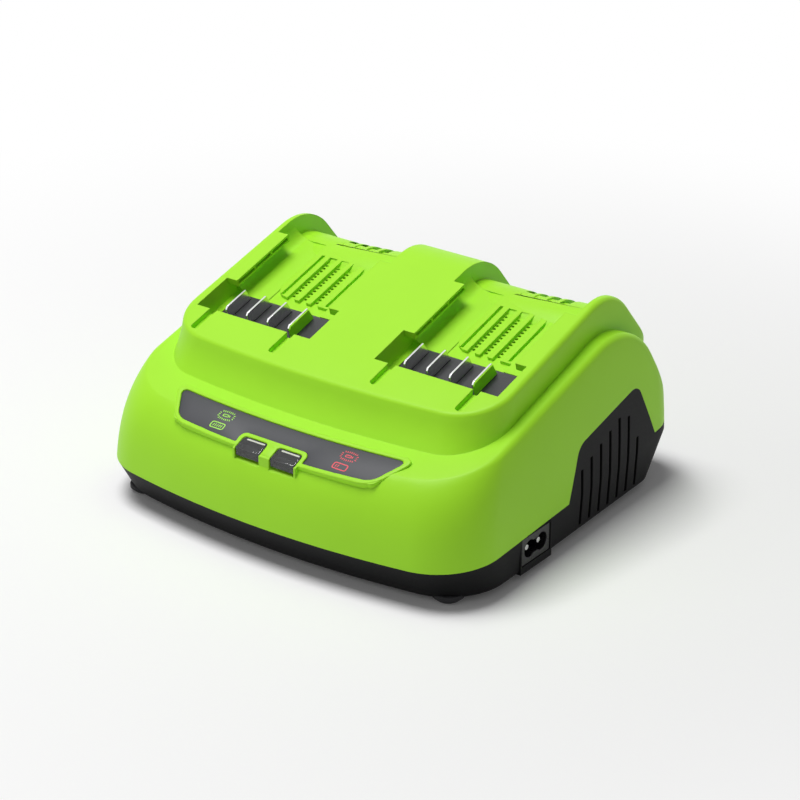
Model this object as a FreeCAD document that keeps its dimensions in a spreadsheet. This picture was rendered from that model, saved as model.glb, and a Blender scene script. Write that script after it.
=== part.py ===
import FreeCAD, Part
import math
import os
import Sketcher
from FreeCAD import Placement, Rotation, Vector

# Two-bay battery charger for cordless tools, in millimetres.
# The origin lies on the bench under the middle of the housing, +X to the right, +Y to the back, +Z up.

doc = FreeCAD.newDocument("battery_charger")
sizes = doc.addObject("Spreadsheet::Sheet", "Sizes")
SHEET = {
    # walls, clearances and the split between base and cover
    "wall": 2.6,
    "clearance": 0.3,
    "parting_height": 20.0,
    "parting_tilt": 1.7,
    # outlines: half widths at a front and a rear station, reach forwards and backwards
    "station_front": 46.0,
    "station_rear": 75.0,
    "foot_height": 2.5,
    "frame_shift": 2.95,
    "bottom_half_front": 98.4,
    "bottom_half_rear": 94.6,
    "bottom_front": 81.2,
    "bottom_rear": 82.0,
    "bottom_chamfer": 1.6,
    "seam_half_front": 99.3,
    "seam_half_rear": 95.5,
    "seam_front": 89.1,
    "seam_rear": 95.0,
    "seam_arc": 447.0,
    "seam_corner": 29.5,
    "seam_rear_corner": 17.0,
    "waist_height": 45.0,
    "waist_tilt": 5.1,
    "waist_half_front": 97.4,
    "waist_half_rear": 95.0,
    "waist_front": 85.0,
    "waist_rear": 91.5,
    "shoulder_height": 71.9,
    "shoulder_half_front": 92.8,
    "shoulder_half_rear": 92.4,
    "shoulder_front": 77.5,
    "shoulder_rear": 84.0,
    "shoulder_corner": 32.0,
    "shoulder_round": 3.2,
    "shoulder_roll_start": 31.0,
    "shoulder_roll": 37.0,
    "shoulder_rear_slope": 58.0,
    # raised crown with the sloping deck
    "deck_tilt": 15.8,
    "deck_height": 85.5,
    "deck_half_front": 86.8,
    "deck_half_rear": 84.2,
    "deck_front": 50.8,
    "deck_rear": 89.5,
    "deck_arc": 800.0,
    "deck_corner": 23.5,
    "deck_rear_corner": 15.0,
    "deck_round": 2.4,
    "neck_height": 66.0,
    "neck_tilt": 8.0,
    "neck_half_front": 87.5,
    "neck_half_rear": 85.4,
    "neck_front": 55.5,
    "crown_foot_height": 48.0,
    "crown_foot_half_front": 88.8,
    "crown_foot_half_rear": 86.8,
    "crown_foot_front": 66.0,
    "crown_foot_rear": 86.0,
    "deck_roll_start": 36.0,
    "deck_roll": 28.0,
    "deck_rear_slope": 50.0,
    # base details
    "floor": 2.8,
    "foot_recess": 1.2,
    "head_seat": 4.0,
    "louvre_count": 7,
    "louvre_last": 29.5,
    "louvre_fall": 12.9,
    # battery bays, measured along and square to the deck
    "bay_pitch": 98.6,
    "bay_width": 63.6,
    "bay_depth": 10.0,
    "bay_front": 29.7,
    "bay_roll_start": 42.0,
    "bay_roll": 20.0,
    "rail_reach": 5.7,
    "rail_height": 3.4,
    "rail_front": 8.0,
    "rail_rear": 30.3,
    "rail_pocket": 3.2,
    "rail_rib": 1.0,
    "guide_left": 22.4,
    "guide_right": 21.4,
    "guide_width": 4.0,
    "guide_front": 44.3,
    "guide_depth": 2.4,
    # vent channels in each bay's floor, ribs on its rolled rear edge, coves along its walls
    "channel_count": 3,
    "channel_first": -4.6,
    "channel_pitch": 6.6,
    "channel_width": 4.0,
    "channel_depth": 1.5,
    "channel_front": 2.4,
    "channel_rear": 34.0,
    "groove_left": 10.4,
    "groove_right": 14.6,
    "groove_width": 1.5,
    "notch_count": 4,
    "notch_pitch": 6.8,
    "notch_width": 4.5,
    "notch_depth": 1.9,
    "notch_shift": 4.4,
    "notch_start": 10.0,
    "cove_round": 6.5,
    "cove_front": -3.5,
    # front bezel with its label panel and two lenses
    "bezel_height": 83.6,
    "bezel_tilt": 24.2,
    "bezel_margin": 2.0,
    "panel_top_half": 61.0,
    "panel_bottom_half": 52.2,
    "panel_top_side": 68.6,
    "panel_top_middle": 71.6,
    "panel_bottom": 83.7,
    "panel_recess": 1.4,
    "panel_thickness": 1.0,
    "bezel_depth": 14.0,
    "bezel_corner": 3.0,
    "panel_corner": 1.6,
    "hood_rim": 1.2,
    "boss_gap": 0.3,
    "pilot_depth": 12.0,
    "lens_pitch": 18.7,
    "lens_width": 12.8,
    "lens_back": 82.6,
    "lens_front": 89.0,
    "lens_drop": 3.8,
    # terminal blocks and their blades
    "block_width": 56.0,
    "block_rear": 5.1,
    "block_length": 24.0,
    "block_height": 9.0,
    "block_flange": 1.6,
    "seat_play": 0.0,
    "blade_play": 0.15,
    "blade_bevel": 1.8,
    "blade_nose": 1.2,
    "blade_first": -22.0,
    "blade_pitch": 11.8,
    "blade_thickness": 0.9,
    "blade_height": 6.3,
    "blade_front": 22.8,
    "blade_rear": 6.6,
    "blade_tail": 5.0,
    # louvred sides of the base
    "hump_foot": -1.0,
    "hump_low": 12.0,
    "hump_knee_place": 11.0,
    "hump_knee_height": 43.6,
    "hump_apex_place": 59.0,
    "hump_apex_height": 54.4,
    "hump_heel_place": 74.5,
    "hump_heel_height": 25.3,
    "hump_rear_place": 110.0,
    "hump_rear_height": 29.0,
    "hump_knee_round": 9.0,
    "hump_apex_round": 7.0,
    "louvre_first": 12.7,
    "louvre_pitch": 7.7,
    "louvre_width": 2.0,
    "louvre_low": 5.5,
    "louvre_top": 32.0,
    "louvre_rise": 3.1,
    # mains inlet, two pins 8.6 mm apart
    "inlet_place": -24.0,
    "inlet_height": 12.2,
    "inlet_pad_width": 23.0,
    "inlet_pad_root": 88.0,
    "inlet_set_back": 0.4,
    "inlet_flange": 2.0,
    "pin_set_back": 1.6,
    "inlet_pad_drop": 0.4,
    "board_margin": 6.0,
    "board_screw": 1.2,
    "cradle_lip": 4.0,
    "panel_sink": 0.4,
    "inlet_pad_reach": 98.9,
    "inlet_body_width": 20.6,
    "inlet_body_height": 12.4,
    "inlet_body_depth": 17.0,
    "inlet_recess_depth": 11.0,
    "inlet_recess_round": 4.0,
    "pin_pitch": 8.6,
    "pin_width": 2.4,
    # cooling fan behind the right louvres
    "fan_size": 40.0,
    "fan_depth": 14.0,
    "fan_place": 36.0,
    "fan_height": 30.0,
    "fan_inner": 74.0,
    "fan_bore": 18.6,
    "fan_hub": 9.0,
    "fan_blade_reach": 17.8,
    "fan_shaft": 1.5,
    "fan_fit": 0.05,
    "fan_ring": 1.2,
    "fan_cup": 7.9,
    "fan_stator": 6.6,
    "fan_tube": 3.0,
    "fan_spoke": 3.0,
    "fan_web": 3.0,
    "fan_blades": 7,
    "fan_blade_chord": 8.0,
    "fan_blade_thickness": 1.1,
    "fan_blade_pitch": 38.0,
    # light board under the lenses
    "light_board_drop": 9.0,
    "light_board_width": 46.0,
    "light_board_length": 9.0,
    "light_board_thickness": 1.2,
    "light_post_place": 19.5,
    "light_post_round": 2.2,
    "light_round": 2.4,
    "light_height": 2.2,
    # leads from the inlet and to the blades, with bends of one radius
    "lead_round": 1.1,
    "lead_bend": 3.6,
    "lead_rise": 22.0,
    "lead_landing": 56.5,
    "lead_turn": 69.0,
    "output_landing": -3.0,
    # circuit board and what stands on it
    "board_width": 126.0,
    "board_front": -62.0,
    "board_rear": 72.0,
    "board_height": 11.0,
    "board_thickness": 1.6,
    "board_shift": -3.0,
    "post_round": 3.4,
    "core_width": 38.0,
    "core_depth": 15.0,
    "core_height": 34.0,
    "core_window_width": 9.0,
    "core_window_height": 22.0,
    "core_place": -14.0,
    "core_row": 22.0,
    "winding_reach": 8.2,
    "bulk_round": 8.5,
    "bulk_height": 31.0,
    "bulk_place": -46.0,
    "bulk_row": -36.0,
    "bulk_pitch": 19.0,
    "output_round": 5.0,
    "output_height": 20.0,
    "output_place": 30.0,
    "output_row": 44.0,
    "output_pitch": 12.0,
    "choke_ring": 8.0,
    "choke_tube": 4.2,
    "choke_place": 30.0,
    "choke_row": -31.5,
    "film_width": 24.0,
    "film_depth": 9.0,
    "film_height": 16.0,
    "film_place": 37.0,
    "film_row": -50.5,
    "fuse_round": 2.6,
    "fuse_length": 20.0,
    "fuse_place": 11.0,
    "fuse_row": -50.0,
    "fuse_clip": 5.0,
    "sink_length": 44.0,
    "sink_height": 26.0,
    "sink_web": 2.2,
    "sink_fin": 1.6,
    "sink_reach": 9.0,
    "sink_fins": 5,
    "sink_primary_place": -58.0,
    "sink_primary_row": 0.0,
    "sink_secondary_place": 46.0,
    "sink_secondary_row": -4.0,
    "chip_width": 10.0,
    "chip_height": 15.0,
    "chip_depth": 4.4,
    # fasteners and feet
    "boss_place": 72.0,
    "boss_front": -60.0,
    "boss_rear": 74.0,
    "boss_round": 4.6,
    "screw_shaft": 1.6,
    "screw_head": 3.2,
    "foot_place": 83.0,
    "foot_front": -65.0,
    "foot_rear": 68.0,
    "foot_round": 7.0,
    "screw_play": 0.1,
    "head_height": 2.2,
    "screw_bite": 10.0,
    "board_head": 2.4,
    "board_head_height": 1.6,
}
for row, (alias, number) in enumerate(SHEET.items(), start=1):
    sizes.set(f"A{row}", alias.replace("_", " "))
    sizes.set(f"B{row}", str(number))
    sizes.setAlias(f"B{row}", alias)
doc.recompute()


def size(expression):
    """Value of an expression over the sheet's sizes."""
    found = sizes.evalExpression(expression)
    return float(getattr(found, "Value", found))


def origin_plane(body, role):
    """One of a body's own three origin planes."""
    for feature in body.Origin.OriginFeatures:
        if feature.Role == role:
            return feature
    raise ValueError(role)


def new_body(name):
    body = doc.addObject("PartDesign::Body", name)
    body.Label = name
    return body


def new_sketch(body, name, role, height="0", tilt="0"):
    """Sketch on an origin plane, raised along its normal and tilted about its own X axis."""
    sketch = body.newObject("Sketcher::SketchObject", name)
    sketch.AttachmentSupport = [(origin_plane(body, role), "")]
    sketch.MapMode = "FlatFace"
    sketch.AttachmentOffset = Placement(Vector(0, 0, size(height)), Rotation(Vector(1, 0, 0), size(tilt)))
    sketch.setExpression("AttachmentOffset.Base.z", height)
    sketch.setExpression("AttachmentOffset.Rotation.Angle", tilt)
    return sketch


def drive(sketch, kind, places, name, expression):
    """Named driving constraint, bound to the sheet."""
    index = sketch.addConstraint(Sketcher.Constraint(kind, *places, size(expression)))
    sketch.renameConstraint(index, name)
    sketch.setExpression(f"Constraints.{name}", expression)


def outline(body, name, height, tilt, half_front, half_rear, front, rear, arc, corner, rear_corner):
    """Housing outline: bowed front, tapering sides, straight rear, four rounded corners."""
    sketch = new_sketch(body, name, "XY_Plane", height, tilt)
    y1, y2 = -size("Sizes.station_front"), size("Sizes.station_rear")
    wide, narrow = size(half_front), size(half_rear)
    bow, round_front, round_rear = size(arc), size(corner), size(rear_corner)
    reach, back = size(front), size(rear)
    along = Vector(narrow - wide, y2 - y1, 0).normalize()
    normal = Vector(along.y, -along.x, 0)
    angle = math.atan2(normal.y, normal.x)
    bow_centre = Vector(0, bow - reach, 0)
    start = Vector(wide, y1, 0) - normal * round_front
    gap = start - bow_centre
    middle = gap.dot(along)
    travel = -middle - math.sqrt(middle ** 2 - gap.dot(gap) + (bow - round_front) ** 2)
    front_centre = start + along * travel
    start = Vector(wide, y1, 0) - normal * round_rear
    rear_centre = start + along * ((back - round_rear - start.y) / along.y)
    meet = math.atan2(front_centre.y - bow_centre.y, front_centre.x - bow_centre.x)
    up = Vector(0, 0, 1)

    def left(point):
        return Vector(-point.x, point.y, 0)

    def bend(centre, radius, first, last):
        return Part.ArcOfCircle(Part.Circle(centre, up, radius), first, last)

    side_start = front_centre + normal * round_front
    side_end = rear_centre + normal * round_rear
    rear_end = rear_centre + Vector(0, round_rear, 0)
    sketch.addGeometry([
        bend(bow_centre, bow, -math.pi - meet, meet),
        bend(front_centre, round_front, meet, angle),
        Part.LineSegment(side_start, side_end),
        bend(rear_centre, round_rear, angle, math.pi / 2),
        Part.LineSegment(rear_end, left(rear_end)),
        bend(left(rear_centre), round_rear, math.pi / 2, math.pi - angle),
        Part.LineSegment(left(side_end), left(side_start)),
        bend(left(front_centre), round_front, math.pi - angle, math.pi - meet),
    ], False)
    for edge in range(8):
        sketch.addConstraint(Sketcher.Constraint("Tangent", edge, 2, (edge + 1) % 8, 1))
    sketch.addConstraint(Sketcher.Constraint("PointOnObject", 0, 3, -2))
    sketch.addConstraint(Sketcher.Constraint("Equal", 1, 7))
    sketch.addConstraint(Sketcher.Constraint("Equal", 3, 5))
    sketch.addConstraint(Sketcher.Constraint("Horizontal", 4))
    sketch.addConstraint(Sketcher.Constraint("Symmetric", 2, 1, 6, 2, -2))
    drive(sketch, "Radius", (0,), "bow", arc)
    drive(sketch, "Radius", (1,), "front_corner", corner)
    drive(sketch, "Radius", (3,), "rear_corner", rear_corner)
    drive(sketch, "DistanceY", (-1, 1, 0, 3), "bow_centre", f"({arc}) - ({front})")
    drive(sketch, "DistanceY", (-1, 1, 4, 1), "rear_reach", rear)
    stations = (("front", y1, wide, half_front, "Sizes.station_front"),
                ("rear", y2, narrow, half_rear, "Sizes.station_rear"))
    for which, place, half, half_size, station in stations:
        point = sketch.addGeometry(Part.Point(Vector(half, place, 0)), True)
        sketch.addConstraint(Sketcher.Constraint("PointOnObject", point, 1, 2))
        drive(sketch, "DistanceX", (-1, 1, point, 1), f"half_{which}", half_size)
        ends = (point, 1, -1, 1) if place < 0 else (-1, 1, point, 1)
        drive(sketch, "DistanceY", ends, f"station_{which}", station)
    return sketch


def loft(body, name, sections, ruled=False):
    form = body.newObject("PartDesign::AdditiveLoft", name)
    form.Profile = sections[0]
    form.Sections = sections[1:]
    form.Ruled = ruled
    return form


def section(body, name, height, tilt, station, arc, corner, rear_corner, inset="0"):
    """Outline of one level of the housing, drawn in by an inset."""
    names = [f"Sizes.{station}_{which}" for which in ("half_front", "half_rear", "front", "rear")]
    reaches = [f"{name_} - ({inset})" for name_ in names]
    rounds = [f"Sizes.{arc}", f"Sizes.{corner} - ({inset})", f"Sizes.{rear_corner} - ({inset})"]
    return outline(body, name, height, tilt, *reaches, *rounds)


def polygon(sketch, corners):
    """Closed polygon whose corners are pairs of expressions."""
    places = [(size(across), size(along)) for across, along in corners]
    count = len(places)
    sketch.addGeometry([
        Part.LineSegment(Vector(*places[i], 0), Vector(*places[(i + 1) % count], 0)) for i in range(count)
    ], False)
    for i in range(count):
        sketch.addConstraint(Sketcher.Constraint("Coincident", i, 2, (i + 1) % count, 1))
    for i, (corner, place) in enumerate(zip(corners, places)):
        for kind, axis, expression, value in (("DistanceX", -2, corner[0], place[0]),
                                              ("DistanceY", -1, corner[1], place[1])):
            if abs(value) < 1e-6:
                sketch.addConstraint(Sketcher.Constraint("PointOnObject", i, 1, axis))
            elif value > 0:
                drive(sketch, kind, (-1, 1, i, 1), f"{kind[-1].lower()}_{i}", expression)
            else:
                drive(sketch, kind, (i, 1, -1, 1), f"{kind[-1].lower()}_{i}", f"-({expression})")
    return sketch


def pad(body, sketch, length, both_ways=True, reverse=False):
    """Straight extrusion of a sketch, about its plane or to one side of it."""
    solid = body.newObject("PartDesign::Pad", f"{body.Label}_pad")
    solid.Profile = sketch
    solid.setExpression("Length", length)
    solid.Midplane = both_ways
    solid.Reversed = reverse
    return solid


def cut_through(body, sketch):
    """Pocket that runs out of the body on both sides of its sketch."""
    solid = body.newObject("PartDesign::Pocket", f"{sketch.Label}_cut")
    solid.Profile = sketch
    solid.Type = "ThroughAll"
    solid.Midplane = True
    return solid


def rolled_roof(body, name, height, tilt, start, radius, slope, drop="0"):
    """Cuts the back of a form to a roof that rolls over from the deck's slope to the rear slope."""
    sketch = new_sketch(body, name, "YZ_Plane")
    begin, bend, fall = size(start), size(radius), math.radians(size(slope))
    lean = math.radians(size(tilt))
    top = size(height) + begin * math.tan(lean)
    centre = Vector(begin + bend * math.sin(lean), top - bend * math.cos(lean), 0)
    first = Vector(begin, top, 0)
    last = centre + Vector(math.sin(fall), math.cos(fall), 0) * bend
    reach = size("Sizes.seam_rear") * 1.5
    low = Vector(reach, last.y - (reach - last.x) * math.tan(fall), 0)
    high = Vector(reach, top * 2, 0)
    over = Vector(begin, top * 2, 0)
    sketch.addGeometry([
        Part.ArcOfCircle(Part.Circle(centre, Vector(0, 0, 1), bend), math.pi / 2 - fall, math.pi / 2 + lean),
        Part.LineSegment(first, over),
        Part.LineSegment(over, high),
        Part.LineSegment(high, low),
        Part.LineSegment(low, last),
    ], False)
    for first_edge, first_end, next_edge, next_end in ((0, 2, 1, 1), (1, 2, 2, 1), (2, 2, 3, 1), (3, 2, 4, 1)):
        sketch.addConstraint(Sketcher.Constraint("Coincident", first_edge, first_end, next_edge, next_end))
    sketch.addConstraint(Sketcher.Constraint("Tangent", 4, 2, 0, 1))
    sketch.addConstraint(Sketcher.Constraint("Vertical", 1))
    sketch.addConstraint(Sketcher.Constraint("Horizontal", 2))
    sketch.addConstraint(Sketcher.Constraint("Vertical", 3))
    rise = f"({height}) + ({start}) * tan({tilt})"
    drive(sketch, "DistanceX", (-1, 1, 0, 2), "roll_start", start)
    drive(sketch, "DistanceY", (-1, 1, 0, 2), "roll_height", rise)
    drive(sketch, "DistanceX", (-1, 1, 0, 3), "roll_centre_place", f"({start}) + ({radius}) * sin({tilt})")
    drive(sketch, "DistanceY", (-1, 1, 0, 3), "roll_centre_height", f"{rise} - ({radius}) * cos({tilt})")
    drive(sketch, "DistanceY", (-1, 1, 1, 2), "over", f"2 * ({rise})")
    drive(sketch, "DistanceX", (-1, 1, 2, 2), "reach", "Sizes.seam_rear * 1.5")
    fall_name = sketch.addConstraint(Sketcher.Constraint("DistanceY", 3, 2, 2, 2, high.y - low.y))
    sketch.renameConstraint(fall_name, "fall")
    fall_run = f"(Sizes.seam_rear * 1.5 - ({start}) - ({radius}) * (sin({tilt}) + sin({slope})))"
    arc_end = f"{rise} - ({radius}) * (cos({tilt}) - cos({slope}))"
    sketch.setExpression("Constraints.fall", f"2 * ({rise}) - ({arc_end}) + {fall_run} * tan({slope})")
    return cut_through(body, sketch)


def skirt(name, inset="0"):
    """Flared lower part of the cover, up to the shoulder."""
    body = new_body(name)
    drop = f"Sizes.shoulder_height - ({inset})"
    sections = [
        section(body, f"{name}_seam", "Sizes.parting_height", "Sizes.parting_tilt", "seam",
                "seam_arc", "seam_corner", "seam_rear_corner", inset),
        section(body, f"{name}_waist", "Sizes.waist_height", "Sizes.waist_tilt", "waist",
                "seam_arc", "seam_corner", "seam_rear_corner", inset),
        section(body, f"{name}_shoulder", drop, "Sizes.deck_tilt", "shoulder",
                "seam_arc", "shoulder_corner", "seam_rear_corner", inset),
    ]
    loft(body, f"{name}_form", sections)
    rolled_roof(body, f"{name}_roof", drop, "Sizes.deck_tilt", "Sizes.shoulder_roll_start",
                f"Sizes.shoulder_roll - ({inset})", "Sizes.shoulder_rear_slope")
    return body


def crown(name, inset="0"):
    """Raised block that carries the deck, hollowed towards its front and rolled over at the back."""
    body = new_body(name)
    top = f"Sizes.deck_height - ({inset})"
    foot = section(body, f"{name}_foot", "Sizes.crown_foot_height", "0", "crown_foot",
                   "deck_arc", "deck_corner", "deck_rear_corner", inset)
    neck_sizes = [f"Sizes.{which} - ({inset})" for which in
                  ("neck_half_front", "neck_half_rear", "neck_front", "deck_rear")]
    neck = outline(body, f"{name}_neck", "Sizes.neck_height", "Sizes.neck_tilt", *neck_sizes, "Sizes.deck_arc",
                   f"Sizes.deck_corner - ({inset})", f"Sizes.deck_rear_corner - ({inset})")
    deck = section(body, f"{name}_deck", top, "Sizes.deck_tilt", "deck",
                   "deck_arc", "deck_corner", "deck_rear_corner", inset)
    loft(body, f"{name}_form", [foot, neck, deck])
    rolled_roof(body, f"{name}_roof", top, "Sizes.deck_tilt", "Sizes.deck_roll_start",
                f"Sizes.deck_roll - ({inset})", "Sizes.deck_rear_slope")
    return body


def round_edges(body, radius, wanted):
    """Fillet on the edges of the body's tip that the test picks."""
    doc.recompute()
    tip = body.Tip
    picked = [f"Edge{i}" for i, edge in enumerate(tip.Shape.Edges, start=1) if wanted(edge)]
    fillet = body.newObject("PartDesign::Fillet", f"{body.Label}_round_{len(body.Group)}")
    fillet.Base = (tip, picked)
    fillet.setExpression("Radius", radius)
    return fillet


def middle_of(edge):
    return edge.valueAt((edge.FirstParameter + edge.LastParameter) / 2)


def on_front_rim(height):
    """Test for the bowed front edge of a form's top face."""
    def test(edge):
        point = middle_of(edge)
        plane = size(height) + point.y * math.tan(math.radians(size("Sizes.deck_tilt")))
        return abs(point.x) < 1 and abs(point.z - plane) < 0.05 and point.y < 0
    return test


def fuse(name, parts):
    joined = doc.addObject("Part::MultiFuse", name)
    joined.Shapes = parts
    return joined


def cut(name, base, tool):
    left = doc.addObject("Part::Cut", name)
    left.Base = base
    left.Tool = tool
    return left


def gather(name, parts):
    """Group of separate solids that share a node."""
    group = doc.addObject("Part::Compound", name)
    group.Links = parts
    return group


def common(name, base, tool):
    shared = doc.addObject("Part::Common", name)
    shared.Base = base
    shared.Tool = tool
    return shared


# Cover: outer forms, hollow, battery bays, bezel and openings

def place(thing, x="0", y="0", z="0"):
    """Moves a piece to a point given by expressions."""
    for axis, expression in zip("xyz", (x, y, z)):
        thing.setExpression(f"Placement.Base.{axis}", expression)
    return thing


def on_deck(thing, x, along, above, tilt="Sizes.deck_tilt", height="Sizes.deck_height"):
    """Moves a piece to a point measured along and square to the sloping deck."""
    thing.Placement = Placement(Vector(), Rotation(Vector(1, 0, 0), size(tilt)))
    thing.setExpression("Placement.Rotation.Angle", tilt)
    return place(thing, x, f"({along}) * cos({tilt}) - ({above}) * sin({tilt})",
                 f"{height} + ({along}) * sin({tilt}) + ({above}) * cos({tilt})")


def block(name, length, depth, height):
    """Box with its corner at its origin."""
    solid = doc.addObject("Part::Box", name)
    for side, expression in (("Length", length), ("Width", depth), ("Height", height)):
        solid.setExpression(side, expression)
    return solid


def rod(name, radius, length, axis="Z"):
    """Cylinder along an axis from its origin."""
    solid = doc.addObject("Part::Cylinder", name)
    turns = {"Z": Rotation(), "X": Rotation(Vector(0, 1, 0), 90), "Y": Rotation(Vector(1, 0, 0), -90)}
    solid.Placement = Placement(Vector(), turns[axis])
    solid.setExpression("Radius", radius)
    solid.setExpression("Height", length)
    return solid


def bay_form(name, side, grow="0"):
    """Space of one battery bay, open at the top and over the rolled back."""
    body = new_body(name)
    sketch = new_sketch(body, f"{name}_profile", "YZ_Plane")
    lean = math.radians(size("Sizes.deck_tilt"))
    fall = math.radians(size("Sizes.deck_rear_slope"))
    drop = f"(Sizes.bay_depth + ({grow}))"
    floor = f"(Sizes.deck_height - {drop} / cos(Sizes.deck_tilt))"
    front = f"(Sizes.bay_front * cos(Sizes.deck_tilt) + ({grow}))"
    start, bend = size("Sizes.bay_roll_start"), size(f"Sizes.bay_roll - ({grow})")
    top = size(floor) + start * math.tan(lean)
    centre = Vector(start + bend * math.sin(lean), top - bend * math.cos(lean), 0)
    last = centre + Vector(math.sin(fall), math.cos(fall), 0) * bend
    reach = size("Sizes.seam_rear * 1.2")
    corner = Vector(-size(front), size(floor) - size(front) * math.tan(lean), 0)
    low = Vector(reach, last.y - (reach - last.x) * math.tan(fall), 0)
    high = size("Sizes.deck_height * 1.6")
    sketch.addGeometry([
        Part.LineSegment(corner, Vector(start, top, 0)),
        Part.ArcOfCircle(Part.Circle(centre, Vector(0, 0, 1), bend), math.pi / 2 - fall, math.pi / 2 + lean),
        Part.LineSegment(last, low),
        Part.LineSegment(low, Vector(reach, high, 0)),
        Part.LineSegment(Vector(reach, high, 0), Vector(corner.x, high, 0)),
        Part.LineSegment(Vector(corner.x, high, 0), corner),
    ], False)
    for first, last_end, then, then_end in ((0, 2, 1, 2), (1, 1, 2, 1)):
        sketch.addConstraint(Sketcher.Constraint("Tangent", first, last_end, then, then_end))
    for first, then in ((2, 3), (3, 4), (4, 5), (5, 0)):
        sketch.addConstraint(Sketcher.Constraint("Coincident", first, 2, then, 1))
    sketch.addConstraint(Sketcher.Constraint("Vertical", 3))
    sketch.addConstraint(Sketcher.Constraint("Horizontal", 4))
    sketch.addConstraint(Sketcher.Constraint("Vertical", 5))
    rise = f"{floor} + Sizes.bay_roll_start * tan(Sizes.deck_tilt)"
    radius = f"(Sizes.bay_roll - ({grow}))"
    drive(sketch, "DistanceX", (0, 1, -1, 1), "front", front)
    drive(sketch, "DistanceX", (-1, 1, 0, 2), "roll_start", "Sizes.bay_roll_start")
    drive(sketch, "DistanceY", (-1, 1, 0, 2), "roll_height", rise)
    drive(sketch, "DistanceX", (-1, 1, 1, 3), "centre_place",
          f"Sizes.bay_roll_start + {radius} * sin(Sizes.deck_tilt)")
    drive(sketch, "DistanceY", (-1, 1, 1, 3), "centre_height", f"{rise} - {radius} * cos(Sizes.deck_tilt)")
    drive(sketch, "DistanceX", (-1, 1, 3, 1), "reach", "Sizes.seam_rear * 1.2")
    drive(sketch, "DistanceY", (-1, 1, 4, 1), "high", "Sizes.deck_height * 1.6")
    fall_run = f"(Sizes.seam_rear * 1.2 - Sizes.bay_roll_start - {radius} * (sin(Sizes.deck_tilt) + sin(Sizes.deck_rear_slope)))"
    arc_end = f"({rise} - {radius} * (cos(Sizes.deck_tilt) - cos(Sizes.deck_rear_slope)))"
    drive(sketch, "DistanceY", (3, 1, 4, 1), "fall",
          f"Sizes.deck_height * 1.6 - {arc_end} + {fall_run} * tan(Sizes.deck_rear_slope)")
    pad(body, sketch, f"Sizes.bay_width + 2 * ({grow})")
    return place(body, f"{side} * Sizes.bay_pitch / 2")


SIDES = (("left", -1), ("right", 1))

outer_skirt_plain = skirt("outer_skirt_plain")
outer_skirt = skirt("outer_skirt")
round_edges(outer_skirt, "Sizes.shoulder_round", on_front_rim("Sizes.shoulder_height"))
outer_crown = crown("outer_crown")
round_edges(outer_crown, "Sizes.deck_round", on_front_rim("Sizes.deck_height"))
inner_skirt = skirt("inner_skirt", "Sizes.wall")
inner_crown = crown("inner_crown", "Sizes.wall")


def panel_outline(body, name, grow):
    """Label panel: bowed top edge, slanting ends, straight bottom edge, in the bezel's tilted plane."""
    sketch = new_sketch(body, name, "XY_Plane", "Sizes.bezel_height", "Sizes.bezel_tilt")
    slant = "((Sizes.panel_top_half - Sizes.panel_bottom_half) / (Sizes.panel_bottom - Sizes.panel_top_side))"
    across = f"(sqrt(1 + {slant} ^ 2) * ({grow}))"
    top_half = f"(Sizes.panel_top_half + {across} + {slant} * ({grow}))"
    bottom_half = f"(Sizes.panel_bottom_half + {across} - {slant} * ({grow}))"
    side = f"(Sizes.panel_top_side - ({grow}))"
    middle = f"(Sizes.panel_top_middle - ({grow}))"
    low = f"(Sizes.panel_bottom + ({grow}))"
    ends = Vector(size(top_half), -size(side), 0)
    crest = Vector(0, -size(middle), 0)
    base = Vector(size(bottom_half), -size(low), 0)
    mirrored = [Vector(-point.x, point.y, 0) for point in (ends, base)]
    sagging = ends.y - crest.y
    radius = (ends.x ** 2 + sagging ** 2) / (2 * sagging)
    spread = math.asin(ends.x / radius)
    circle = Part.Circle(Vector(0, crest.y + radius, 0), Vector(0, 0, 1), radius)
    arc = Part.ArcOfCircle(circle, -math.pi / 2 - spread, -math.pi / 2 + spread)
    sketch.addGeometry([arc, Part.LineSegment(mirrored[0], mirrored[1]), Part.LineSegment(mirrored[1], base),
                        Part.LineSegment(base, ends)], False)
    for first, first_end, then, then_end in ((0, 1, 1, 1), (1, 2, 2, 1), (2, 2, 3, 1), (3, 2, 0, 2)):
        sketch.addConstraint(Sketcher.Constraint("Coincident", first, first_end, then, then_end))
    sketch.addConstraint(Sketcher.Constraint("Symmetric", 1, 1, 3, 2, -2))
    sketch.addConstraint(Sketcher.Constraint("Symmetric", 1, 2, 3, 1, -2))
    drive(sketch, "DistanceX", (-1, 1, 3, 2), "top_half", top_half)
    drive(sketch, "DistanceY", (3, 2, -1, 1), "top_side", side)
    drive(sketch, "DistanceX", (-1, 1, 3, 1), "bottom_half", bottom_half)
    drive(sketch, "DistanceY", (3, 1, -1, 1), "bottom", low)
    sag = f"({middle} - {side})"
    drive(sketch, "Radius", (0,), "bow", f"({top_half} ^ 2 + {sag} ^ 2) / (2 * {sag})")
    return sketch


def slanting(edge):
    """Short edges of a tilted plate that run through its thickness."""
    ends = [vertex.Point for vertex in edge.Vertexes]
    return len(ends) == 2 and abs(ends[0].x - ends[1].x) < 1e-4 and abs(ends[0].z - ends[1].z) > 0.1 \
        and abs(ends[0].x) > 1


bezel = new_body("bezel_form")
pad(bezel, panel_outline(bezel, "bezel_outline", "Sizes.bezel_margin"), "Sizes.bezel_depth", False, True)
round_edges(bezel, "Sizes.bezel_corner", slanting)

panel_recess = new_body("panel_recess")
pad(panel_recess, panel_outline(panel_recess, "recess_outline", "0"), "2 * Sizes.panel_recess")
round_edges(panel_recess, "Sizes.panel_corner", slanting)


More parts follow.
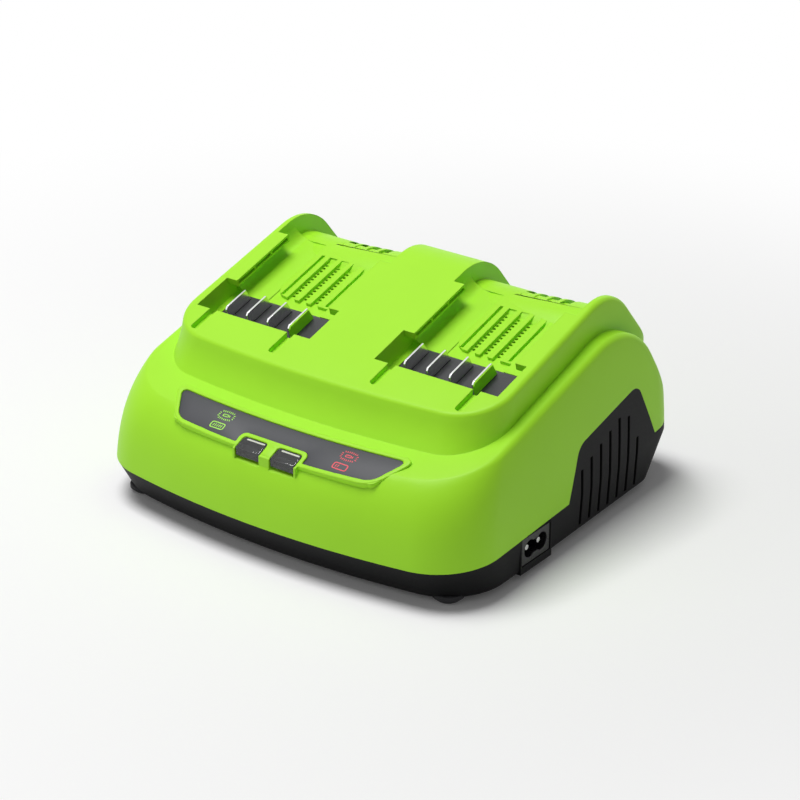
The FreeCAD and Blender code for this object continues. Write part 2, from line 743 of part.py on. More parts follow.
def lens_profile(body, name, grow="0"):
    """Side view of a lens: flat top in the bezel's plane, front face dropping over its edge."""
    sketch = new_sketch(body, name, "YZ_Plane")
    run, tilt = "cos(Sizes.bezel_tilt)", "sin(Sizes.bezel_tilt)"
    back = f"-(Sizes.lens_back - ({grow})) * {run}"
    front = f"-(Sizes.lens_front + ({grow})) * {run}"
    back_top = f"Sizes.bezel_height - (Sizes.lens_back - ({grow})) * {tilt} + ({grow})"
    front_top = f"Sizes.bezel_height - (Sizes.lens_front + ({grow})) * {tilt} + ({grow})"
    low = f"Sizes.bezel_height - Sizes.lens_front * {tilt} - Sizes.lens_drop - ({grow})"
    return polygon(sketch, [(back, low), (front, low), (front, front_top), (back, back_top)])


lens_spaces = []
for side_name, side in SIDES:
    space = new_body(f"lens_space_{side_name}")
    pad(space, lens_profile(space, f"lens_space_{side_name}_profile", "Sizes.clearance"),
        "Sizes.lens_width + 2 * Sizes.clearance")
    place(space, f"{side} * Sizes.lens_pitch / 2")
    lens_spaces.append(space)
hood = new_body("lens_hood")
pad(hood, lens_profile(hood, "lens_hood_profile", "Sizes.hood_rim"),
    "Sizes.lens_pitch + Sizes.lens_width + 2 * Sizes.hood_rim")
place(hood, z="-Sizes.hood_rim")

hump_edge = [
    ("Sizes.hump_foot", "Sizes.hump_low"),
    ("Sizes.hump_knee_place", "Sizes.hump_knee_height"),
    ("Sizes.hump_apex_place", "Sizes.hump_apex_height"),
    ("Sizes.hump_heel_place", "Sizes.hump_heel_height"),
    ("Sizes.hump_rear_place", "Sizes.hump_rear_height"),
    ("Sizes.hump_rear_place", "Sizes.hump_low"),
]


def along_x_at(across, height):
    """Test for an edge along X through a point of the side view."""
    def test(edge):
        point = middle_of(edge)
        return abs(point.y - size(across)) < 0.05 and abs(point.z - size(height)) < 0.05
    return test


hump = new_body("hump_form")
pad(hump, polygon(new_sketch(hump, "hump_profile", "YZ_Plane"), hump_edge), "2.4 * Sizes.seam_half_front")
round_edges(hump, "Sizes.hump_knee_round", along_x_at(*hump_edge[1]))
round_edges(hump, "Sizes.hump_apex_round", along_x_at(*hump_edge[2]))

bosses = []
for x_side in (-1, 1):
    for y_size in ("Sizes.boss_front", "Sizes.boss_rear"):
        corner_name = f"{'left' if x_side < 0 else 'right'}_{y_size.split('_')[-1]}"
        boss = rod(f"boss_{corner_name}", "Sizes.boss_round", "Sizes.deck_height")
        place(boss, f"{x_side} * Sizes.boss_place", y_size, "Sizes.parting_height + Sizes.boss_gap")
        bosses.append((corner_name, f"{x_side} * Sizes.boss_place", y_size, boss))

bays = [bay_form(f"bay_{side_name}", side) for side_name, side in SIDES]
bay_shells = [bay_form(f"bay_shell_{side_name}", side, "Sizes.wall") for side_name, side in SIDES]


def guide_form(name, grow="0"):
    """Guide grooves in the deck in front of each bay, two per bay, with round front ends."""
    parts = []
    for side_name, side in SIDES:
        for which, offset in (("left", "-Sizes.guide_left"), ("right", "Sizes.guide_right")):
            label = f"{name}_{side_name}_{which}"
            middle = f"{side} * Sizes.bay_pitch / 2 + {offset}"
            half = f"(Sizes.guide_width / 2 + ({grow}))"
            run = block(f"{label}_run", f"2 * {half}",
                        "Sizes.guide_front - Sizes.bay_front - Sizes.guide_width / 2 + Sizes.wall",
                        "Sizes.guide_depth * 2")
            on_deck(run, f"{middle} - {half}", "Sizes.guide_width / 2 - Sizes.guide_front",
                    f"-Sizes.guide_depth - ({grow})")
            end = rod(f"{label}_end", half, "Sizes.guide_depth * 2")
            on_deck(end, middle, "Sizes.guide_width / 2 - Sizes.guide_front", f"-Sizes.guide_depth - ({grow})")
            parts += [run, end]
    return parts


guides = guide_form("guide")
guide_shells = guide_form("guide_shell", "Sizes.wall * 0.7")

block_spaces = []
for side_name, side in SIDES:
    space = block(f"block_space_{side_name}", "Sizes.block_width + 2 * Sizes.clearance",
                  "Sizes.block_length + 2 * Sizes.clearance", "3 * Sizes.wall")
    on_deck(space, f"{side} * Sizes.bay_pitch / 2 - Sizes.block_width / 2 - Sizes.clearance",
            "-Sizes.block_rear - Sizes.block_length - Sizes.clearance", "-Sizes.bay_depth - 2 * Sizes.wall")
    block_spaces.append(space)

channels = []
for side_name, side in SIDES:
    middle = f"{side} * Sizes.bay_pitch / 2"
    rows = [(f"{middle} + Sizes.channel_first + {index} * Sizes.channel_pitch", "Sizes.channel_width")
            for index in range(int(size("Sizes.channel_count")))]
    rows += [(f"{middle} - Sizes.groove_left", "Sizes.groove_width"),
             (f"{middle} + Sizes.groove_right", "Sizes.groove_width")]
    for index, (x_place, width) in enumerate(rows, start=1):
        channel = block(f"channel_{side_name}_{index}", width, "Sizes.channel_rear - Sizes.channel_front",
                        "2 * Sizes.channel_depth")
        channels.append(on_deck(channel, f"{x_place} - {width} / 2", "Sizes.channel_front",
                                "-Sizes.bay_depth - Sizes.channel_depth"))
notches = []
for side_name, side in SIDES:
    for index in range(int(size("Sizes.notch_count"))):
        notch = new_body(f"notch_{side_name}_{index + 1}")
        profile = new_sketch(notch, f"notch_{side_name}_{index + 1}_profile", "YZ_Plane")
        radius = "(Sizes.bay_roll - Sizes.notch_depth)"
        centre_y = "(Sizes.bay_roll_start + Sizes.bay_roll * sin(Sizes.deck_tilt))"
        centre_z = ("(Sizes.deck_height - Sizes.bay_depth / cos(Sizes.deck_tilt) + Sizes.bay_roll_start"
                    " * tan(Sizes.deck_tilt) - Sizes.bay_roll * cos(Sizes.deck_tilt))")
        polygon(profile, [
            (f"{centre_y} + {radius} * sin({angle})", f"{centre_z} + {radius} * cos({angle})")
            for angle in ("Sizes.notch_start", "(2 * Sizes.notch_start + Sizes.deck_rear_slope) / 3",
                          "(Sizes.notch_start + 2 * Sizes.deck_rear_slope) / 3", "Sizes.deck_rear_slope")
        ] + [
            (f"{centre_y} + {radius} * sin(Sizes.deck_rear_slope) + Sizes.bay_roll * cos(Sizes.deck_rear_slope)",
             f"{centre_z} + {radius} * cos(Sizes.deck_rear_slope) - Sizes.bay_roll * sin(Sizes.deck_rear_slope)"),
            (f"{centre_y} + 3 * Sizes.bay_roll", f"{centre_z} + {radius}"),
            (f"{centre_y} + 3 * Sizes.bay_roll", f"{centre_z} + 2 * Sizes.bay_roll"),
            (f"{centre_y} + {radius} * sin(Sizes.notch_start)", f"{centre_z} + 2 * Sizes.bay_roll"),
        ])
        pad(notch, profile, "Sizes.notch_width")
        offset = f"({index} - (Sizes.notch_count - 1) / 2) * Sizes.notch_pitch"
        notches.append(place(notch, f"{side} * Sizes.bay_pitch / 2 + Sizes.notch_shift + {offset}"))
light_posts = []
for side_name, side in SIDES:
    post = rod(f"light_post_{side_name}", "Sizes.light_post_round", "Sizes.light_board_drop")
    light_posts.append(on_deck(post, f"{side} * Sizes.light_post_place", "-(Sizes.lens_front + Sizes.lens_back) / 2",
                               "-Sizes.light_board_drop", "Sizes.bezel_tilt", "Sizes.bezel_height"))
cover_cores = fuse("cover_cores", light_posts + bay_shells + guide_shells + [entry[3] for entry in bosses])
cover_hollow = cut("cover_hollow", fuse("cover_inside", [inner_skirt, inner_crown]), cover_cores)
cover_solid = fuse("cover_solid", [outer_skirt, outer_crown, bezel, hood])
cover_skin = cut("cover_skin", cover_solid, cover_hollow)

pilots = []
for corner_name, x_place, y_place, boss in bosses:
    pilot = rod(f"pilot_{corner_name}", "Sizes.screw_shaft", "Sizes.pilot_depth + Sizes.boss_gap")
    place(pilot, x_place, y_place, "Sizes.parting_height")
    pilots.append(pilot)

coves = []
for side_name, side in SIDES:
    for wall_side in (-1, 1):
        label = f"cove_{side_name}_{'outer' if wall_side == side else 'inner'}"
        wall_place = f"{side} * Sizes.bay_pitch / 2 + {wall_side} * Sizes.bay_width / 2"
        start = wall_place if wall_side < 0 else f"{wall_place} - Sizes.cove_round"
        corner = block(label, "Sizes.cove_round", "Sizes.bay_roll_start - Sizes.cove_front", "Sizes.cove_round")
        on_deck(corner, start, "Sizes.cove_front", "-Sizes.bay_depth")
        space = doc.addObject("Part::Cylinder", f"{label}_space")
        space.setExpression("Radius", "Sizes.cove_round")
        space.setExpression("Height", "2 * Sizes.bay_roll_start")
        space.Placement = Placement(Vector(), Rotation(Vector(1, 0, 0), -90))
        holder = doc.addObject("Part::Compound", f"{label}_axis")
        holder.Links = [space]
        on_deck(holder, f"{wall_place} - {wall_side} * Sizes.cove_round", "-Sizes.bay_front / 2",
                "Sizes.cove_round - Sizes.bay_depth")
        coves.append(cut(f"{label}_fillet", corner, holder))
cover_cuts = fuse("cover_cuts", bays + guides + channels + notches + block_spaces + lens_spaces + pilots
                  + [panel_recess, hump])
cover_open = cut("cover_open", cover_skin, cover_cuts)

rails = []
for side_name, side in SIDES:
    for wall_side in (-1, 1):
        label = f"rail_{side_name}_{'outer' if wall_side == side else 'inner'}"
        wall_place = f"{side} * Sizes.bay_pitch / 2 + {wall_side} * Sizes.bay_width / 2"
        start = wall_place if wall_side < 0 else f"{wall_place} - Sizes.rail_reach"
        bar = block(label, "Sizes.rail_reach", "Sizes.rail_rear + Sizes.rail_front", "Sizes.rail_height")
        on_deck(bar, start, "-Sizes.rail_front", "-Sizes.rail_height")
        span = "((Sizes.rail_rear + Sizes.rail_front - 4 * Sizes.rail_rib) / 3)"
        pockets = []
        for index in range(3):
            pocket = block(f"{label}_pocket_{index + 1}", "Sizes.rail_pocket * 2", span,
                           "Sizes.rail_height - 2 * Sizes.rail_rib")
            mouth = f"{wall_place} - {wall_side} * Sizes.rail_reach - Sizes.rail_pocket"
            on_deck(pocket, mouth, f"-Sizes.rail_front + Sizes.rail_rib + {index} * ({span} + Sizes.rail_rib)",
                    "Sizes.rail_rib - Sizes.rail_height")
            pockets.append(pocket)
        rails.append(cut(f"{label}_cored", bar, fuse(f"{label}_pockets", pockets)))

cover = fuse("top_cover", [cover_open] + coves + rails)


# Base: tray with louvred humps, inlet pad, bosses and feet

def tray(name, inset="0", lift="0"):
    """Shallow tray from the chamfered bottom outline up to the parting plane."""
    body = new_body(name)
    rounds = ("seam_arc", "seam_corner", "seam_rear_corner")
    low = section(body, f"{name}_bottom", f"Sizes.foot_height + ({lift})", "0", "bottom", *rounds,
                  f"Sizes.bottom_chamfer + ({inset})")
    side = section(body, f"{name}_side", f"Sizes.foot_height + ({lift}) + Sizes.bottom_chamfer", "0", "bottom",
                   *rounds, inset)
    top = section(body, f"{name}_parting", "Sizes.parting_height", "Sizes.parting_tilt", "seam", *rounds, inset)
    loft(body, f"{name}_form", [low, side, top], True)
    return body


outer_tray = tray("outer_tray")
inner_tray = tray("inner_tray", "Sizes.wall", "Sizes.floor")
hump_walls = cut("hump_walls", common("hump_block", outer_skirt_plain, hump), inner_skirt)

pad_solid = block("inlet_pad", "Sizes.inlet_pad_reach - Sizes.inlet_pad_root", "Sizes.inlet_pad_width",
                  "Sizes.parting_height + Sizes.inlet_place * tan(Sizes.parting_tilt) - Sizes.inlet_pad_drop"
                  " - Sizes.foot_height")
place(pad_solid, "Sizes.inlet_pad_root", "Sizes.inlet_place - Sizes.inlet_pad_width / 2", "Sizes.foot_height")

inlet_hole = block("inlet_hole", "Sizes.inlet_pad_reach", "Sizes.inlet_body_width + 2 * Sizes.clearance",
                   "Sizes.inlet_body_height + 2 * Sizes.clearance")
place(inlet_hole, "Sizes.inlet_pad_root - Sizes.wall",
      "Sizes.inlet_place - Sizes.inlet_body_width / 2 - Sizes.clearance",
      "Sizes.inlet_height - Sizes.inlet_body_height / 2 - Sizes.clearance")

base_bosses, base_holes = [], []
for corner_name, x_place, y_place, boss in bosses:
    column = rod(f"base_boss_{corner_name}", "Sizes.boss_round",
                 f"Sizes.parting_height + {y_place} * tan(Sizes.parting_tilt) - Sizes.foot_height - Sizes.boss_gap")
    base_bosses.append(place(column, x_place, y_place, "Sizes.foot_height"))
    bore = rod(f"base_bore_{corner_name}", "Sizes.screw_shaft + Sizes.clearance", "Sizes.parting_height * 1.5")
    base_holes.append(place(bore, x_place, y_place))
    seat = rod(f"base_seat_{corner_name}", "Sizes.screw_head + Sizes.clearance", "Sizes.head_seat")
    base_holes.append(place(seat, x_place, y_place, "Sizes.foot_height"))

post_places = []
for x_side in (-1, 1):
    for which in ("front", "rear"):
        inward = "+" if which == "front" else "-"
        post_places.append((f"{'left' if x_side < 0 else 'right'}_{which}",
                            f"Sizes.board_shift + {x_side} * (Sizes.board_width / 2 - Sizes.board_margin)",
                            f"Sizes.board_{which} {inward} Sizes.board_margin"))
posts = []
for corner_name, x_place, y_place in post_places:
    post = rod(f"post_{corner_name}", "Sizes.post_round", "Sizes.board_height - Sizes.foot_height")
    posts.append(place(post, x_place, y_place, "Sizes.foot_height"))
    hole = rod(f"post_hole_{corner_name}", "Sizes.board_screw", "Sizes.board_height")
    base_holes.append(place(hole, x_place, y_place, "Sizes.foot_height + Sizes.floor"))

feet_places = [(x_side, which) for x_side in (-1, 1) for which in ("front", "rear")]
foot_recesses, feet = [], []
for x_side, which in feet_places:
    label = f"{'left' if x_side < 0 else 'right'}_{which}"
    recess = rod(f"foot_recess_{label}", "Sizes.foot_round + Sizes.clearance", "Sizes.foot_recess")
    foot_recesses.append(place(recess, f"{x_side} * Sizes.foot_place", f"Sizes.foot_{which}", "Sizes.foot_height"))
    foot = new_body(f"foot_{label}")
    half = new_sketch(foot, f"foot_{label}_half", "XZ_Plane")
    polygon(half, [("0", "0"), ("Sizes.foot_round * 0.72", "0"), ("Sizes.foot_round", "Sizes.foot_height * 0.7"),
                   ("Sizes.foot_round", "Sizes.foot_height + Sizes.foot_recess"),
                   ("0", "Sizes.foot_height + Sizes.foot_recess")])
    turned = foot.newObject("PartDesign::Revolution", f"foot_{label}_turned")
    turned.Profile = half
    turned.ReferenceAxis = (half, ["V_Axis"])
    turned.Angle = 360
    feet.append(place(foot, f"{x_side} * Sizes.foot_place", f"Sizes.foot_{which}"))

slots = []
for index in range(int(size("Sizes.louvre_count"))):
    climbing = f"Sizes.louvre_top + {index} * Sizes.louvre_rise"
    falling = f"Sizes.louvre_last + (Sizes.louvre_count - 1 - {index}) * Sizes.louvre_fall"
    top = f"min({climbing}; {falling})"
    slot = block(f"louvre_{index + 1}", "2.4 * Sizes.seam_half_front", "Sizes.louvre_width", f"{top} - Sizes.louvre_low")
    place(slot, "-1.2 * Sizes.seam_half_front",
          f"Sizes.louvre_first + {index} * Sizes.louvre_pitch - Sizes.louvre_width / 2", "Sizes.louvre_low")
    slots.append(slot)

fan_y, fan_z = "Sizes.fan_place", "Sizes.fan_height"
fan_cradle = block("fan_cradle", "Sizes.fan_depth + 2 * Sizes.wall", "Sizes.fan_size + 2 * Sizes.wall",
                   "Sizes.fan_height - Sizes.fan_size / 2 + Sizes.cradle_lip - Sizes.foot_height")
place(fan_cradle, "Sizes.fan_inner - Sizes.wall", f"{fan_y} - Sizes.fan_size / 2 - Sizes.wall", "Sizes.foot_height")
fan_slot = block("fan_slot", "Sizes.fan_depth + 2 * Sizes.clearance", "Sizes.fan_size + 2 * Sizes.clearance",
                 "Sizes.fan_size")
place(fan_slot, "Sizes.fan_inner - Sizes.clearance", f"{fan_y} - Sizes.fan_size / 2 - Sizes.clearance",
      f"{fan_z} - Sizes.fan_size / 2 - Sizes.clearance")
fan_window = block("fan_window", "Sizes.fan_depth + 4 * Sizes.wall", "Sizes.fan_size - 2 * Sizes.wall",
                   "Sizes.fan_size")
place(fan_window, "Sizes.fan_inner - 2 * Sizes.wall", f"{fan_y} - Sizes.fan_size / 2 + Sizes.wall",
      f"{fan_z} - Sizes.fan_size / 2 + Sizes.wall / 2")

tray_cores = fuse("tray_cores", base_bosses + posts + [fan_cradle])
tray_hollow = cut("tray_hollow", inner_tray, tray_cores)
base_solid = fuse("base_solid", [cut("tray_shell", outer_tray, tray_hollow), hump_walls, pad_solid])
base_cuts = fuse("base_cuts", base_holes + foot_recesses + slots + [inlet_hole, fan_slot, fan_window])
base = cut("base_housing", base_solid, base_cuts)

# Front panel, lenses and their light board

panel_plate = new_body("panel_plate")
plate_sketch = panel_outline(panel_plate, "plate_outline", "-Sizes.clearance")
pad(panel_plate, plate_sketch, "Sizes.panel_thickness", False, True)
round_edges(panel_plate, "Sizes.panel_corner", slanting)
place(panel_plate, z="-Sizes.panel_sink")
front_panel = cut("front_panel", panel_plate, hood)

lenses = []
for side_name, side in SIDES:
    lens = new_body(f"lens_{side_name}")
    pad(lens, lens_profile(lens, f"lens_{side_name}_profile"), "Sizes.lens_width")
    lenses.append(place(lens, f"{side} * Sizes.lens_pitch / 2"))


# Terminal blocks and their blades

terminal_blocks, blade_sets = [], []
for side_name, side in SIDES:
    middle = f"{side} * Sizes.bay_pitch / 2"
    body_block = block(f"block_body_{side_name}", "Sizes.block_width", "Sizes.block_length", "Sizes.block_height")
    on_deck(body_block, f"{middle} - Sizes.block_width / 2", "-Sizes.block_rear - Sizes.block_length",
            "-Sizes.bay_depth - Sizes.block_height")
    flange = block(f"block_flange_{side_name}", "Sizes.block_width + 2 * Sizes.wall",
                   "Sizes.block_length + 2 * Sizes.wall", "Sizes.block_flange")
    on_deck(flange, f"{middle} - Sizes.block_width / 2 - Sizes.wall",
            "-Sizes.block_rear - Sizes.block_length - Sizes.wall",
            "-Sizes.bay_depth - Sizes.wall - Sizes.block_flange - Sizes.seat_play")
    blades, slits = [], []
    for index in range(4):
        blade = new_body(f"blade_{side_name}_{index + 1}")
        profile = new_sketch(blade, f"blade_{side_name}_{index + 1}_profile", "YZ_Plane")
        polygon(profile, [("-Sizes.blade_front", "-Sizes.block_height - Sizes.blade_tail"),
                          ("-Sizes.blade_rear", "-Sizes.block_height - Sizes.blade_tail"),
                          ("-Sizes.blade_rear", "0.3"),
                          ("-Sizes.blade_rear - Sizes.blade_bevel", "Sizes.blade_height"),
                          ("-Sizes.blade_front + Sizes.blade_nose", "Sizes.blade_height"),
                          ("-Sizes.blade_front", "Sizes.blade_height - Sizes.blade_nose")])
        pad(blade, profile, "Sizes.blade_thickness")
        x_place = f"{middle} + Sizes.blade_first + {index} * Sizes.blade_pitch"
        on_deck(blade, x_place, "0", "-Sizes.bay_depth")
        blades.append(blade)
        slit = block(f"slit_{side_name}_{index + 1}", "Sizes.blade_thickness + 2 * Sizes.blade_play",
                     "Sizes.blade_front - Sizes.blade_rear + 2 * Sizes.blade_play", "3 * Sizes.block_height")
        on_deck(slit, f"{x_place} - Sizes.blade_thickness / 2 - Sizes.blade_play",
                "-Sizes.blade_front - Sizes.blade_play", "-Sizes.bay_depth - 2 * Sizes.block_height")
        slits.append(slit)
    whole = fuse(f"block_whole_{side_name}", [body_block, flange])
    terminal_blocks.append(cut(f"terminal_block_{side_name}", whole, fuse(f"slits_{side_name}", slits)))
    blade_sets.append(gather(f"terminal_blades_{side_name}", blades))

# Mains inlet

inlet_block = block("inlet_block", "Sizes.inlet_body_depth", "Sizes.inlet_body_width", "Sizes.inlet_body_height")
place(inlet_block, "Sizes.inlet_pad_reach - Sizes.inlet_set_back - Sizes.inlet_body_depth",
      "Sizes.inlet_place - Sizes.inlet_body_width / 2", "Sizes.inlet_height - Sizes.inlet_body_height / 2")
inlet_flange = block("inlet_flange", "Sizes.inlet_flange", "Sizes.inlet_body_width + 2 * Sizes.wall",
                     "Sizes.inlet_body_height")
place(inlet_flange, "Sizes.inlet_pad_root - Sizes.clearance - Sizes.inlet_flange",
      "Sizes.inlet_place - Sizes.inlet_body_width / 2 - Sizes.wall", "Sizes.inlet_height - Sizes.inlet_body_height / 2")
lobes = []
for lobe_side in (-1, 1):
    lobe = rod(f"inlet_lobe_{'front' if lobe_side < 0 else 'rear'}", "Sizes.inlet_recess_round",
               "Sizes.inlet_recess_depth + Sizes.wall", "X")
    lobes.append(place(lobe, "Sizes.inlet_pad_reach - Sizes.inlet_set_back - Sizes.inlet_recess_depth",
                       f"Sizes.inlet_place + {lobe_side} * Sizes.pin_pitch / 2", "Sizes.inlet_height"))
waist_space = block("inlet_waist", "Sizes.inlet_recess_depth + Sizes.wall", "Sizes.pin_pitch",
                    "1.5 * Sizes.inlet_recess_round")
place(waist_space, "Sizes.inlet_pad_reach - Sizes.inlet_set_back - Sizes.inlet_recess_depth",
      "Sizes.inlet_place - Sizes.pin_pitch / 2", "Sizes.inlet_height - 0.75 * Sizes.inlet_recess_round")
pins, pin_bores = [], []
for pin_side in (-1, 1):
    label = "front" if pin_side < 0 else "rear"
    pin = rod(f"inlet_pin_{label}", "Sizes.pin_width / 2", "Sizes.inlet_body_depth + Sizes.wall", "X")
    start = ("Sizes.inlet_pad_reach - Sizes.inlet_set_back - Sizes.inlet_body_depth - Sizes.wall - Sizes.pin_set_back")
    pins.append(place(pin, start, f"Sizes.inlet_place + {pin_side} * Sizes.pin_pitch / 2", "Sizes.inlet_height"))
    bore = rod(f"inlet_pin_bore_{label}", "Sizes.pin_width / 2 + Sizes.blade_play", "2 * Sizes.inlet_body_depth", "X")
    pin_bores.append(place(bore, "Sizes.inlet_pad_root - 2 * Sizes.wall - Sizes.inlet_body_depth",
                           f"Sizes.inlet_place + {pin_side} * Sizes.pin_pitch / 2", "Sizes.inlet_height"))
inlet = cut("ac_inlet", fuse("inlet_whole", [inlet_block, inlet_flange]),
            fuse("inlet_spaces", lobes + [waist_space] + pin_bores))
inlet_pins = gather("inlet_pins", pins)

# Light board with two light-emitting diodes

light_board = block("light_board", "Sizes.light_board_width", "Sizes.light_board_length",
                    "Sizes.light_board_thickness")
on_deck(light_board, "-Sizes.light_board_width / 2",
        "-(Sizes.lens_front + Sizes.lens_back) / 2 - Sizes.light_board_length / 2",
        "-Sizes.light_board_drop - Sizes.light_board_thickness", "Sizes.bezel_tilt", "Sizes.bezel_height")
lights = []
for side_name, side in SIDES:
    light = rod(f"light_{side_name}", "Sizes.light_round", "Sizes.light_height")
    lights.append(on_deck(light, f"{side} * Sizes.lens_pitch / 2", "-(Sizes.lens_front + Sizes.lens_back) / 2",
                          "-Sizes.light_board_drop", "Sizes.bezel_tilt", "Sizes.bezel_height"))
indicator_lights = gather("indicator_lights", lights)

# Circuit board and its components

board_plate = block("board_plate", "Sizes.board_width", "Sizes.board_rear - Sizes.board_front",
                    "Sizes.board_thickness")
place(board_plate, "Sizes.board_shift - Sizes.board_width / 2", "Sizes.board_front", "Sizes.board_height")
board_holes, board_screws = [], []
for corner_name, x_place, y_place in post_places:
    hole = rod(f"board_hole_{corner_name}", "Sizes.board_screw + Sizes.clearance", "3 * Sizes.board_thickness")
    board_holes.append(place(hole, x_place, y_place, "Sizes.board_height - Sizes.board_thickness"))
    shank = rod(f"board_shank_{corner_name}", "Sizes.board_screw - Sizes.screw_play",
                "Sizes.board_height - Sizes.foot_height - Sizes.floor")
    place(shank, x_place, y_place, "Sizes.foot_height + Sizes.floor + Sizes.board_thickness")
    head = rod(f"board_head_{corner_name}", "Sizes.board_head", "Sizes.board_head_height")
    place(head, x_place, y_place, "Sizes.board_height + Sizes.board_thickness")
    board_screws.append(fuse(f"board_screw_{corner_name}", [shank, head]))
main_board = cut("main_board", board_plate, fuse("board_holes", board_holes))
board_top = "Sizes.board_height + Sizes.board_thickness"

core_block = block("core_block", "Sizes.core_width", "Sizes.core_depth", "Sizes.core_height")
place(core_block, "Sizes.core_place - Sizes.core_width / 2", "Sizes.core_row - Sizes.core_depth / 2", board_top)
windows = []
leg = "(Sizes.core_width - 2 * Sizes.core_window_width) / 2"
for window_side in (-1, 1):
    window = block(f"core_window_{'left' if window_side < 0 else 'right'}", "Sizes.core_window_width",
                   "2 * Sizes.core_depth", "Sizes.core_window_height")
    centre = f"Sizes.core_place + {window_side} * ({leg} + Sizes.core_window_width) / 2"
    windows.append(place(window, f"{centre} - Sizes.core_window_width / 2", "Sizes.core_row - Sizes.core_depth",
                         f"{board_top} + (Sizes.core_height - Sizes.core_window_height) / 2"))
transformer_core = cut("transformer_core", core_block, fuse("core_windows", windows))
winding_block = block("winding_block", f"{leg} + 2 * Sizes.winding_reach", "Sizes.core_depth + 2 * Sizes.winding_reach",
                      "Sizes.core_window_height - 2 * Sizes.clearance")
place(winding_block, f"Sizes.core_place - ({leg}) / 2 - Sizes.winding_reach",
      "Sizes.core_row - Sizes.core_depth / 2 - Sizes.winding_reach",
      f"{board_top} + (Sizes.core_height - Sizes.core_window_height) / 2 + Sizes.clearance")
winding_space = block("winding_space", f"{leg} + 2 * Sizes.clearance", "Sizes.core_depth + 2 * Sizes.clearance",
                      "Sizes.core_height")
place(winding_space, f"Sizes.core_place - ({leg}) / 2 - Sizes.clearance",
      "Sizes.core_row - Sizes.core_depth / 2 - Sizes.clearance", board_top)
transformer_winding = cut("transformer_winding", winding_block, winding_space)


def cans(name, radius, height, x_place, y_place, pitch, count):
    """Row of upright capacitors."""
    row = []
    for index in range(count):
        can = rod(f"{name}_{index + 1}", f"Sizes.{radius}", f"Sizes.{height}")
        row.append(place(can, f"Sizes.{x_place} + {index} * Sizes.{pitch}", f"Sizes.{y_place}", board_top))
    return gather(name, row)


bulk_capacitors = cans("bulk_capacitors", "bulk_round", "bulk_height", "bulk_place", "bulk_row", "bulk_pitch", 2)
output_capacitors = cans("output_capacitors", "output_round", "output_height", "output_place", "output_row",
                         "output_pitch", 3)
choke = doc.addObject("Part::Torus", "line_choke")
choke.setExpression("Radius1", "Sizes.choke_ring")
choke.setExpression("Radius2", "Sizes.choke_tube")
place(choke, "Sizes.choke_place", "Sizes.choke_row", f"{board_top} + Sizes.choke_tube")
film = block("film_capacitor", "Sizes.film_width", "Sizes.film_depth", "Sizes.film_height")
place(film, "Sizes.film_place - Sizes.film_width / 2", "Sizes.film_row - Sizes.film_depth / 2", board_top)
fuse_tube = rod("fuse", "Sizes.fuse_round", "Sizes.fuse_length", "X")
place(fuse_tube, "Sizes.fuse_place - Sizes.fuse_length / 2", "Sizes.fuse_row",
      f"{board_top} + Sizes.fuse_clip + Sizes.fuse_round")
clips = []
for clip_side in (-1, 1):
    clip = block(f"fuse_clip_{'left' if clip_side < 0 else 'right'}", "Sizes.fuse_clip", "2 * Sizes.fuse_round",
                 "Sizes.fuse_clip")
    clips.append(place(clip, f"Sizes.fuse_place + {clip_side} * (Sizes.fuse_length - Sizes.fuse_clip) / 2"
                       " - Sizes.fuse_clip / 2", "Sizes.fuse_row - Sizes.fuse_round", board_top))
fuse_clips = gather("fuse_clips", clips)

sinks, chips = [], []
for label, facing in (("primary", 1), ("secondary", -1)):
    x_place, y_place = f"Sizes.sink_{label}_place", f"Sizes.sink_{label}_row"
    web = block(f"sink_{label}_web", "Sizes.sink_web", "Sizes.sink_length", "Sizes.sink_height")
    place(web, f"{x_place} - Sizes.sink_web / 2", f"{y_place} - Sizes.sink_length / 2", board_top)
    parts = [web]
    for index in range(int(size("Sizes.sink_fins"))):
        fin = block(f"sink_{label}_fin_{index + 1}", "Sizes.sink_reach", "Sizes.sink_fin", "Sizes.sink_height")
        start = f"{x_place} - Sizes.sink_reach" if facing > 0 else x_place
        parts.append(place(fin, start, f"{y_place} - Sizes.sink_length / 2 + {index} * (Sizes.sink_length"
                           " - Sizes.sink_fin) / (Sizes.sink_fins - 1)", board_top))
    sinks.append(fuse(f"{label}_heatsink", parts))
    for index in range(2):
        chip = block(f"{label}_chip_{index + 1}", "Sizes.chip_depth", "Sizes.chip_width", "Sizes.chip_height")
        start = f"{x_place} + {facing} * Sizes.sink_web / 2" + ("" if facing > 0 else " - Sizes.chip_depth")
        chips.append(place(chip, start, f"{y_place} - Sizes.chip_width * 1.5 + {index} * 2 * Sizes.chip_width",
                           board_top))
power_transistors = gather("power_transistors", chips)

# Cooling fan: frame with bearing tube, stator and a rotor that spins about X

fan_box = block("fan_box", "Sizes.fan_depth", "Sizes.fan_size", "Sizes.fan_size")
place(fan_box, "Sizes.fan_inner", f"{fan_y} - Sizes.fan_size / 2", f"{fan_z} - Sizes.fan_size / 2")


def fan_rod(name, radius, start, length):
    """Round piece on the fan's axis."""
    return place(rod(name, radius, length, "X"), f"Sizes.fan_inner + ({start})", fan_y, fan_z)


